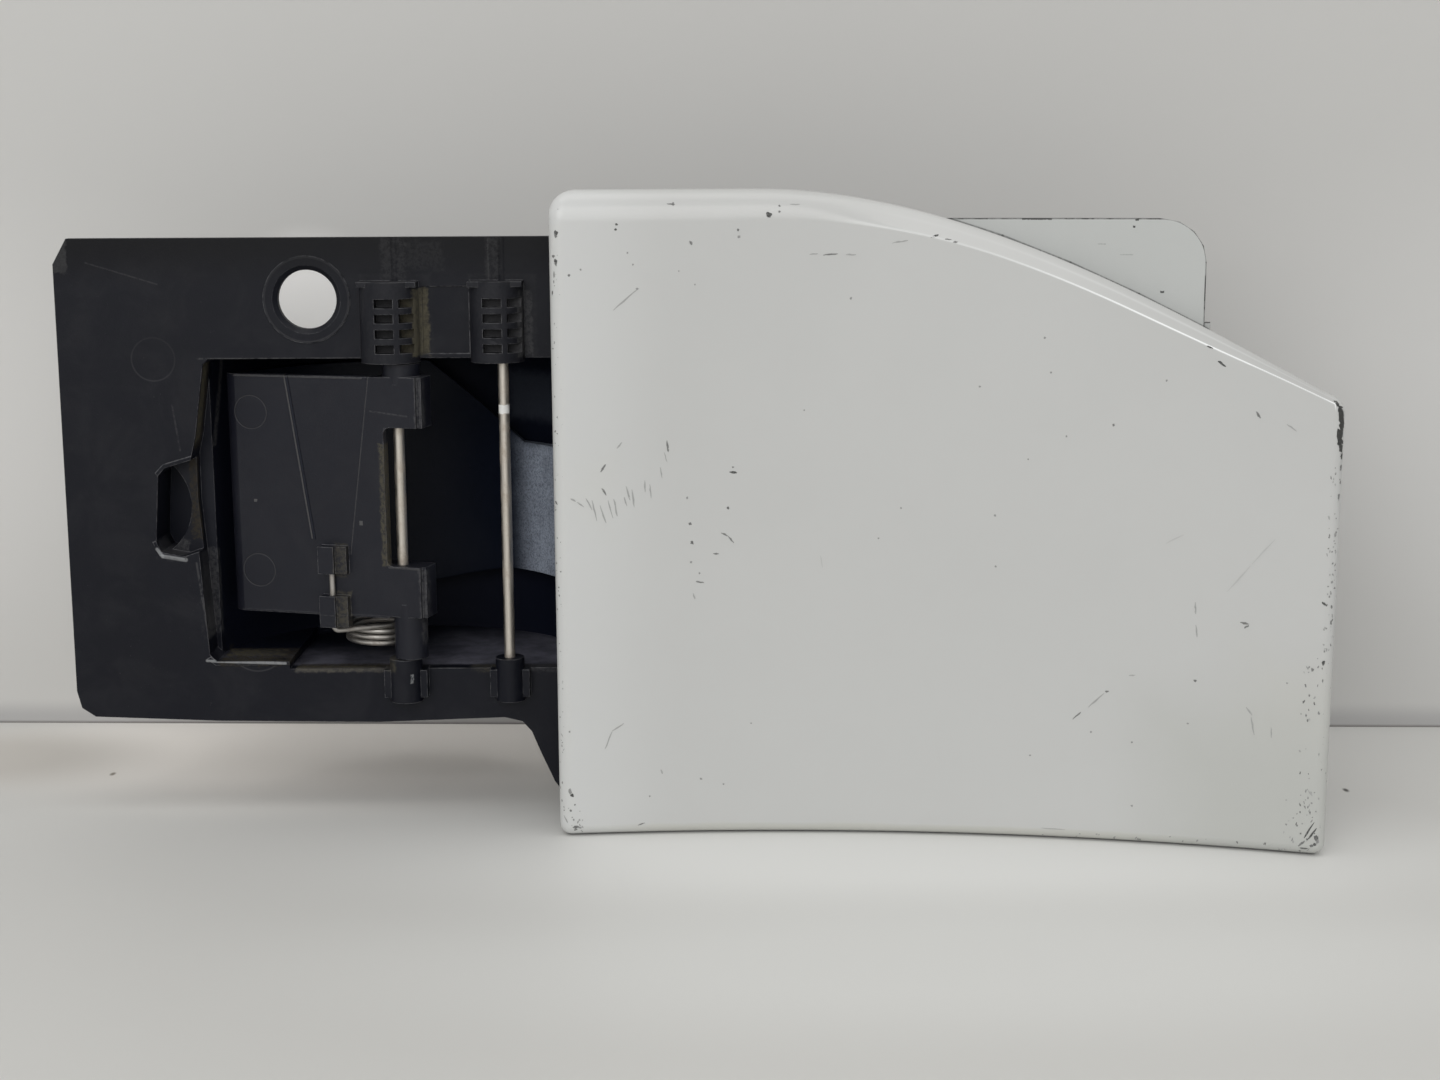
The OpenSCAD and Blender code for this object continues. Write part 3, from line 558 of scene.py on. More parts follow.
def coverPaint():
    material, board, skin = newMaterial("cover_paint")
    across = board.axis(0)
    slow = board.ramp(board.noise(0.012, 3.0, 0.6), 0.35, 0.7)
    tone = board.mix(slow, paint["colour"], shade(paint["colour"], 0.975))
    for centre, half, softness, ragged, size, strength in paint["handled"]:
        mask = board.mask(patchMask, Centre=centre, Half=half, Soft=softness, Ragged=ragged, Size=size)
        tone = board.tint(tone, mask, strength, paint["grime"])
    # painted light: the cover's left part, where its rolled edge catches the light, is painted paler
    tone = board.mix(board.ramp(across, *paint["paleX"], 0.0, 0.8), tone, paint["pale"])
    # painted shade at the cover's lower right
    tone = board.tint(tone, board.mask(patchMask, **paint["dullPatch"]), 0.9, paint["dull"])
    # painted highlight: a bright line along the crease, fading towards the left
    crease = board.ramp(board.attribute("crease"), 0.1, 0.9)
    tone = board.tint(tone, crease, board.ramp(across, *paint["creaseHighlightX"], 0.22, 1.0), paint["line"])
    # painted shadow: a dark line along the bottom edge, where the cover stands on the floor
    tone = board.tint(tone, board.ramp(board.axis(2), *paint["footZ"]), 0.8, paint["foot"])
    rims = board.most(*(board.mask(patchMask, Centre=centre, Half=half, Soft=softness, Ragged=1.0, Size=0.5)
                        for centre, half, softness in paint["wornRims"]))
    specks = board.ramp(board.noise(0.8, 3.0, 0.75), 0.66, 0.70)
    bare = board.times(board.times(specks, rims), 0.8)
    tone = board.mix(bare, tone, paint["bare"])
    hair = board.noise(0.5, 4.0, 0.7, place=board.vector("MULTIPLY", board.spot, (0.3, 0.3, 2.2)))
    rough = board.timesAdd(hair, 0.14, paint["roughness"] - 0.07)
    rough = board.mixValue(bare, rough, 0.6)
    peel = board.noise(0.35, 2.0, 0.5)
    height = board.timesAdd(bare, -3.0, board.times(peel, 0.25))
    finishSkin(board, skin, tone, rough, height, 0.5, paint["relief"])
    board.feed(skin, "Coat Weight", board.mixValue(bare, paint["coat"], 0.0))
    skin.inputs["Coat Roughness"].default_value = paint["coatRoughness"]
    return material


# scratches and chips: paint where the tone is low, bare plastic where it is high
def markPaint():
    material, board, skin = newMaterial("mark_paint")
    patchy = board.ramp(board.noise(2.4, 4.0, 0.8), 0.3, 0.58, 0.72, 1.0)
    tone = board.mix(board.times(board.attribute("tone"), patchy), paint["colour"], paint["mark"])
    board.feed(skin, "Base Color", tone)
    board.feed(skin, "Roughness", board.timesAdd(patchy, 0.25, 0.3))
    return material


# the face is a shallow hollow in a large cylinder, the top edge one curve down into the sloping side
cover = {
    "bendX": 121.5, "bendY": -546.5, "faceR": 520.0, "depth": 14.0, "wall": 2.5,
    "left": 69.0, "right": 275.5, "top": 30.0, "bottom": -146.7, "columns": 84, "rows": 44, "corner": 7,
    "topLeftR": 6.5, "topRightR": 4.4, "footR": 3.5, "topRightTurn": 62, "topRightDrop": 57,
    "curve": ((124.0, 30.0), (184.0, 30.0), (246.3, -9.6), (273.0, -23.2)),
    "bandAt": (72.6, 110, 150, 175, 205, 235, 258, 272.4), "band": (8.2, 8.2, 6.8, 5.4, 5.1, 4.9, 2.8, 1.5),
    "side": 3.7, "rightTrim": 0.3, "foot": 3.3, "slopeFrom": 132, "slopeRun": 34,
    "softDepth": 5.0, "sideDepth": 3.4, "slopeDepth": 5.6, "lineWidth": 0.42, "sharpAngle": 50,
    # slanted band, from the crease to the edge: share of the way in, share of the depth
    "slant": [(0.972, 0.016), (0.93, 0.055), (0.82, 0.16), (0.62, 0.345), (0.42, 0.53), (0.22, 0.715),
              (0.10, 0.84), (0.03, 0.93), (0.0, 1.0)],
    "creaseLine": {0: 1.0, 4: 0.35},  # painted highlight along the crease: how bright the paint is at each loop of the slanted band
    # rolled back edge: how far in, how far short of the full depth
    "lip": [(0.0, 0.5), (0.5, 0.0), (2.2, 0.0), (2.5, 0.4), (2.5, 7.0)],
}


def bezier(points, t):
    weights = ((1 - t) ** 3, 3 * (1 - t) ** 2 * t, 3 * (1 - t) * t * t, t ** 3)
    return [sum(w * p[i] for w, p in zip(weights, points)) for i in range(2)]


curveX, curveZ = bezier(cover["curve"], np.linspace(0, 1, 300))


def topEdge(x):
    return float(np.interp(x, curveX, curveZ))


# the carrier's tab, which shows behind the sloping edge
tab = {
    "right": 242.9, "top": 21.8, "corner": 11.5, "grey": (0.525, 0.538, 0.525, 1),
    "bare": (0.012, 0.012, 0.014, 1), "bareGlossy": (0.022, 0.022, 0.025, 1), "edge": (0.05, 0.05, 0.05, 1),
    "dust": (0.2, 0.2, 0.195, 1), "edgeRadius": 0.0003, "relief": 0.00005,
    "gapX": (172, 190, 208, 226, 244), "gapAbove": 0.25, "gapWidth": 0.44,  # dark line along the cover's edge, partly dirt and partly painted shadow in the gap
    # centre, half, strength
    "specks": [
        ((224.2, -25, 19.6), (0.2, 20, 0.15), 1.0), ((231.9, -25, 2.4), (0.4, 20, 0.15), 1.0),
        ((224.9, -25, 21.4), (0.3, 20, 0.1), 1.0), ((216.0, -25, 15.0), (0.9, 20, 0.01), 0.3),
        ((222.5, -25, 12.2), (1.6, 20, 0.01), 0.3), ((199.0, -25, 21.6), (3.8, 20, 0.12), 1.0),
    ],
}


# the tab that shows is painted in front, with a dark line along the cover's edge, partly dirt and partly
# painted shadow, and one round its own rim
def carrierPlastic():
    material, board, skin = newMaterial("carrier_plastic")
    edges = board.place(softEdges, Radius=tab["edgeRadius"])
    grain = board.place(mouldGrain, Fine=1.6, Slow=0.04)
    front = board.ramp(board.facing(1), -0.5, -0.8)
    paler = board.mix(grain["Gloss"], tab["grey"], shade(tab["grey"], 0.95))
    # painted shadow, with dirt, in the gap under the cover's edge
    gapPoints = [(x, topEdge(x) + tab["gapAbove"]) for x in tab["gapX"]]
    for start, end in zip(gapPoints, gapPoints[1:]):
        paler = board.tint(paler, drawLine(board, start + end, tab["gapWidth"], 0.3), 0.65, paint["mark"])
    turn = (tab["right"] - tab["corner"], 0, tab["top"] - tab["corner"])
    bend = board.vector("MAXIMUM", board.vector("SUBTRACT", board.spot, turn), (0, 0, 0))
    bend = board.vector("LENGTH", board.vector("MULTIPLY", bend, flatView))
    rim = board.maths("SUBTRACT", bend, tab["corner"])
    rim = board.times(board.ramp(rim, -0.42, -0.2), board.ramp(rim, 0.4, 0.1))
    gaps = board.ramp(board.noise(0.16, 4.0, 0.8), 0.42, 0.6, 0.45, 1.0)
    paler = board.tint(paler, rim, gaps, paint["mark"])
    for centre, half, strength in tab["specks"]:
        mask = board.mask(patchMask, Centre=centre, Half=half, Soft=0.2, Ragged=0.4, Size=1.5)
        paler = board.tint(paler, mask, strength, paint["mark"])
    tone = board.mix(front, board.mix(grain["Gloss"], tab["bare"], tab["bareGlossy"]), paler)
    tone = board.tint(tone, edges["Edge"], board.times(front, 0.8), tab["edge"])
    tone = board.tint(tone, board.place(dustFilm, Amount=0.3)["Film"], 0.3, tab["dust"])
    rough = board.timesAdd(grain["Gloss"], 0.2, 0.32)
    finishSkin(board, skin, tone, rough, grain["Height"], 0.6, tab["relief"], edges["Normal"])
    return material


steel = {
    "pin": (0.72, 0.67, 0.60, 1), "pinStain": (0.30, 0.22, 0.15, 1), "wire": (0.54, 0.52, 0.49, 1),
    "wireStain": (0.22, 0.17, 0.13, 1), "dabAt": (54.0, -4.5, -30.4), "dab": (0.80, 0.80, 0.78, 1),
    "relief": 0.00003, "stretch": (3.0, 3.0, 0.12), "dabHalf": (3, 3, 1.1),
}


# drawn steel with lengthways lines, brown stains and, on one pin, a dab of white paint
def drawnSteel(name, base, stain, dabAt=None):
    material, board, skin = newMaterial(name)
    drawn = board.noise(2.0, 4.0, 0.7, place=board.vector("MULTIPLY", board.spot, steel["stretch"]))
    blotch = board.ramp(board.noise(0.16, 5.0, 0.7), 0.42, 0.72)
    pits = board.ramp(board.noise(1.3, 3.0, 0.8), 0.64, 0.72)
    tone = board.mix(drawn, base, shade(base, 0.66))
    tone = board.tint(tone, blotch, 0.45, stain)
    tone = board.tint(tone, pits, 0.6, stain)
    rough = board.timesAdd(drawn, 0.12, board.timesAdd(blotch, 0.25, 0.34))
    metal = board.mixValue(board.times(blotch, 0.5), 1.0, 0.4)
    if dabAt:
        dab = board.mask(patchMask, Centre=dabAt, Half=steel["dabHalf"], Soft=0.3, Ragged=1.2, Size=0.9)
        tone = board.mix(dab, tone, steel["dab"])
        rough = board.mixValue(dab, rough, 0.5)
        metal = board.mixValue(dab, metal, 0.0)
    finishSkin(board, skin, tone, rough, drawn, 0.5, steel["relief"])
    board.feed(skin, "Metallic", metal)
    return material


materials = {
    "housing": housingPlastic(), "swing_arm": armPlastic(), "inner_carrier": carrierPlastic(),
    "cover": coverPaint(), "mark": markPaint(),
    "hinge_pin": drawnSteel("hinge_pin_steel", steel["pin"], steel["pinStain"]),
    "stop_pin": drawnSteel("stop_pin_steel", steel["pin"], steel["pinStain"], steel["dabAt"]),
    "spring": drawnSteel("spring_steel", steel["wire"], steel["wireStain"]),
}
print("materials built")


# mouldings kept from the frame
for node in ("housing", "swing_arm", "inner_carrier"):
    paintWith(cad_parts[node], materials[node])
print("housing, arm and carrier dressed")


# steel pins
pins = {"x": {"hinge_pin": 24.5, "stop_pin": 54.0}, "y": -4.5, "radius": 1.5, "bottom": -111.2, "top": 3.8,
        "chamfer": 0.35, "sides": 40, "sharpAngle": 40}


def buildPin(node, x):
    y, full, cut, n = pins["y"], pins["radius"], pins["chamfer"], pins["sides"]
    rows = [(pins["bottom"], full - cut), (pins["bottom"] + cut, full), (pins["top"] - cut, full),
            (pins["top"], full - cut)]
    turns = [k * 2 * math.pi / n for k in range(n)]
    pin = tube(node + "_bar", [[Vector((x + r * math.cos(a), y + r * math.sin(a), z)) * milli for a in turns]
                               for z, r in rows])
    sharpenBy(pin, pins["sharpAngle"])
    paintWith(pin, materials[node])
    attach(pin, "housing")
    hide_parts(node)


for node, x in pins["x"].items():
    buildPin(node, x)
print("pins made")


# torsion spring: places are about the hinge, angles in degrees
spring = {
    "wire": 0.8, "sides": 14, "sharpAngle": 60, "coilRadius": 9.8, "pitch": 1.75, "turns": 3,
    "coil": (-9.0, 16.0), "eye": (-19.5, -5.0), "lean": -15.0, "eyeTop": -71.3, "legZ": -93.4, "bend": 1.5,
    "leaveAngle": 30.0, "anchorBack": 36.6, "foot": -108.1, "eyeSteps": 4, "legSteps": 14, "coilSteps": 110,
    "footSteps": 4, "firm": 12,  # how many of the leg's points count as its upper end
}


# the wire's middle line, from the arm's eyes down to the pocket's floor, as leg and coil
def springPath():
    lean = math.radians(spring["lean"])
    ex, ey = spring["eye"]
    eye = Vector((ex * math.cos(lean) - ey * math.sin(lean), ex * math.sin(lean) + ey * math.cos(lean)))
    coil = Vector(spring["coil"])
    coilRadius, bend, legZ, eyeTop = spring["coilRadius"], spring["bend"], spring["legZ"], spring["eyeTop"]
    reach = (coil - eye).length
    aim = math.atan2(coil.y - eye.y, coil.x - eye.x) - math.asin(coilRadius / reach)
    legRun = math.sqrt(reach * reach - coilRadius ** 2)
    startAngle = aim - math.pi / 2
    endAngle = math.radians(spring["leaveAngle"] + 360 * spring["turns"])
    drop = spring["pitch"] * (endAngle - startAngle) / (2 * math.pi)
    footZ = legZ - drop
    quarter = [math.radians(15 * k) for k in range(7)]

    def out(start, way, run, z):
        return (start[0] + way[0] * run, start[1] + way[1] * run, z)

    count = spring["eyeSteps"]
    path = [(eye.x, eye.y, eyeTop + (legZ + bend - eyeTop) * k / count) for k in range(count)]
    legWay = (math.cos(aim), math.sin(aim))
    path += [out(eye, legWay, bend * (1 - math.cos(a)), legZ + bend * (1 - math.sin(a))) for a in quarter]
    count = spring["legSteps"]
    path += [out(eye, legWay, bend + (legRun - bend) * k / count, legZ) for k in range(1, count + 1)]
    legPoints = len(path)  # the coil starts at the last point of the leg
    count = spring["coilSteps"]
    for k in range(1, count + 1):
        a = startAngle + (endAngle - startAngle) * k / count
        path.append(out(coil, (math.cos(a), math.sin(a)), coilRadius, legZ - drop * k / count))
    leave = path[-1]
    footWay = (math.cos(endAngle + math.pi / 2), math.sin(endAngle + math.pi / 2))
    footRun = (spring["anchorBack"] - leave[1]) / footWay[1]
    count = spring["footSteps"]
    path += [out(leave, footWay, (footRun - bend) * k / count, footZ) for k in range(1, count + 1)]
    path += [out(leave, footWay, footRun - bend + bend * math.sin(a), footZ - bend * (1 - math.cos(a)))
             for a in quarter[1:]]
    path.append(out(leave, footWay, footRun, spring["foot"]))
    path = [Vector((x + pins["x"]["hinge_pin"], y + pins["y"], z)) for x, y, z in path]
    return path[:legPoints], path[legPoints - 1:]


def sweepWire(name, path, radius, sides):
    rings, side = [], None
    turns = [2 * math.pi * k / sides for k in range(sides)]
    for i, p in enumerate(path):
        heading = (path[min(i + 1, len(path) - 1)] - path[max(i - 1, 0)]).normalized()
        side = heading.orthogonal() if side is None else side - heading * side.dot(heading)
        side = side.normalized()
        other = heading.cross(side)
        rings.append([(p + (side * math.cos(a) + other * math.sin(a)) * radius) * milli for a in turns])
    return tube(name, rings)


legPath, coilPath = springPath()
for name, path in (("spring_leg", legPath), ("spring_coil", coilPath)):
    wire = sweepWire(name, path, spring["wire"], spring["sides"])
    sharpenBy(wire, spring["sharpAngle"])
    paintWith(wire, materials["spring"])
    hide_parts("torsion_spring")
    if name == "spring_leg":  # its upper end sits in the arm's eyes; the coil is attached to the housing
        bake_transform(wire)
    else:
        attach(wire, "housing")
print("spring made")


# painted cover: depth is measured back from its face
def coverY(x, depth):
    return cover["bendY"] + math.sqrt((cover["faceR"] + depth) ** 2 - (x - cover["bendX"]) ** 2)


# averages the straight-line values nearby, so that the band has no kinks
def smoothInterp(x, xs, ys):
    near = range(-12, 13, 3)
    return sum(float(np.interp(x + d, xs, ys)) for d in near) / len(near)


def arc(centre, radius, start, end, count):
    angles = [math.radians(start + (end - start) * k / count) for k in range(count + 1)]
    return [(centre[0] + radius * math.cos(a), centre[1] + radius * math.sin(a)) for a in angles]


def between(a, b, share):
    return a + (b - a) * share


# the outline and the crease inside it, in step round the edge: outer and inner place, softness, band depth
def coverStations(xs, crease):
    left, right, top, bottom = cover["left"], cover["right"], cover["top"], cover["bottom"]
    side, soft, slope = cover["sideDepth"], cover["softDepth"], cover["slopeDepth"]
    footR, topR, turnR = cover["footR"], cover["topLeftR"], cover["topRightR"]
    turnZ = top - cover["topRightDrop"]
    cl, cr, cb = xs[0], xs[-1], bottom + cover["foot"]
    n, m, q = cover["columns"], cover["rows"], cover["corner"]
    topLeft = arc((left + topR, top - topR), topR, 180, 90, q)
    topRight = arc((right - turnR, turnZ), turnR, 0, cover["topRightTurn"], q)[::-1]
    stations = []
    for j in range(m):  # left side, upwards
        place = (left, between(bottom + footR, top - topR, j / m))
        stations.append((place, (cl, between(cb, crease[0], j / m)), 1.0, side))
    for k, place in enumerate(topLeft):
        stations.append((place, (cl, crease[0]), 1.0, between(side, soft, k / q)))
    for i in range(1, n):  # top, to the right, where the soft edge turns into the slanted band
        x = between(topLeft[-1][0], topRight[0][0], i / n)
        share = min(max((xs[i] - cover["slopeFrom"]) / cover["slopeRun"], 0), 1)
        share = share * share * (3 - 2 * share)
        stations.append(((x, topEdge(x)), (xs[i], crease[i]), 1 - share, between(soft, slope, share)))
    for k, place in enumerate(topRight):
        stations.append((place, (cr, crease[n]), k / q, between(slope, side, k / q)))
    for j in range(m - 1, 0, -1):  # right side, downwards
        place = (right, between(bottom + footR, turnZ, j / m))
        stations.append((place, (cr, between(cb, crease[n], j / m)), 1.0, side))
    for place in arc((right - footR, bottom + footR), footR, 0, -90, q):
        stations.append((place, (cr, cb), 1.0, side))
    for i in range(n - 1, 0, -1):  # bottom, to the left
        stations.append(((between(left + footR, right - footR, i / n), bottom), (xs[i], cb), 1.0, side))
    for place in arc((left + footR, bottom + footR), footR, 270, 180, q)[:-1]:
        stations.append((place, (cl, cb), 1.0, side))
    return stations


def buildCover():
    n, m, q = cover["columns"], cover["rows"], cover["corner"]
    cl, cr = cover["left"] + cover["side"], cover["right"] - cover["side"] + cover["rightTrim"]
    cb = cover["bottom"] + cover["foot"]
    xs = [between(cl, cr, i / n) for i in range(n + 1)]
    crease = [topEdge(x) - smoothInterp(x, cover["bandAt"], cover["band"]) for x in xs]
    stations = coverStations(xs, crease)
    points, faces, lines = [], [], []

    def rowHeight(high, j):  # the last row lies just under the crease
        return high if j == m else cb + (high - cb - cover["lineWidth"]) * j / (m - 1)

    def put(x, z, depth, line=0.0):
        lines.append(line)
        points.append(Vector((x, coverY(x, depth), z)) * milli)
        return len(points) - 1

    def sheet(depth, flip):
        ids = [[put(xs[i], rowHeight(crease[i], j), depth) for j in range(m + 1)] for i in range(n + 1)]
        for i in range(n):
            for j in range(m):
                quad = (ids[i][j], ids[i + 1][j], ids[i + 1][j + 1], ids[i][j + 1])
                faces.append(quad[::-1] if flip else quad)
        return ids

    def rimOf(ids):  # the sheet's own border, in step with the stations
        loop = ids[0][:m] + [ids[0][m]] * (q + 1) + [ids[i][m] for i in range(1, n)]
        loop += [ids[n][m]] * (q + 1) + [ids[n][m - j] for j in range(1, m)] + [ids[n][0]] * (q + 1)
        return loop + [ids[i][0] for i in range(n - 1, 0, -1)] + [ids[0][0]] * q

    front = sheet(0.0, False)
    # the crease's painted highlight, kept per point
    for i in range(n + 1):
        lines[front[i][m]] = 1 - stations[m + q + i][2]
    loops = [rimOf(front)]
    for k, (slantIn, slantBack) in enumerate(cover["slant"]):
        a = math.radians(90 * (k + 1) / len(cover["slant"]))
        roundIn, roundBack = 1 - math.sin(a), 1 - math.cos(a)
        ring = []
        for o, c, soft, depth in stations:
            inset = roundIn * soft + slantIn * (1 - soft)
            back = (roundBack * soft + slantBack * (1 - soft)) * depth
            bright = (1 - soft) * cover["creaseLine"].get(k, 0.0)
            ring.append(put(between(o[0], c[0], inset), between(o[1], c[1], inset), back, bright))
        loops.append(ring)
    for inset, short in cover["lip"]:
        ring = []
        for o, c, soft, depth in stations:
            way = Vector((c[0] - o[0], c[1] - o[1])).normalized() * inset
            ring.append(put(o[0] + way.x, o[1] + way.y, cover["depth"] - short))
        loops.append(ring)
    loops.append(rimOf(sheet(cover["wall"], True)))
    count = len(stations)
    for a, b in zip(loops, loops[1:]):
        for k in range(count):
            corners = dict.fromkeys((a[k], b[k], b[(k + 1) % count], a[(k + 1) % count]))  # each one once
            if len(corners) > 2:
                faces.append(tuple(corners))
    piece = newPiece("cover_shell", points, faces)
    piece.data.attributes.new("crease", "FLOAT", "POINT").data.foreach_set("value", lines)
    faceOutwards(piece)
    sharpenBy(piece, cover["sharpAngle"])
    return piece


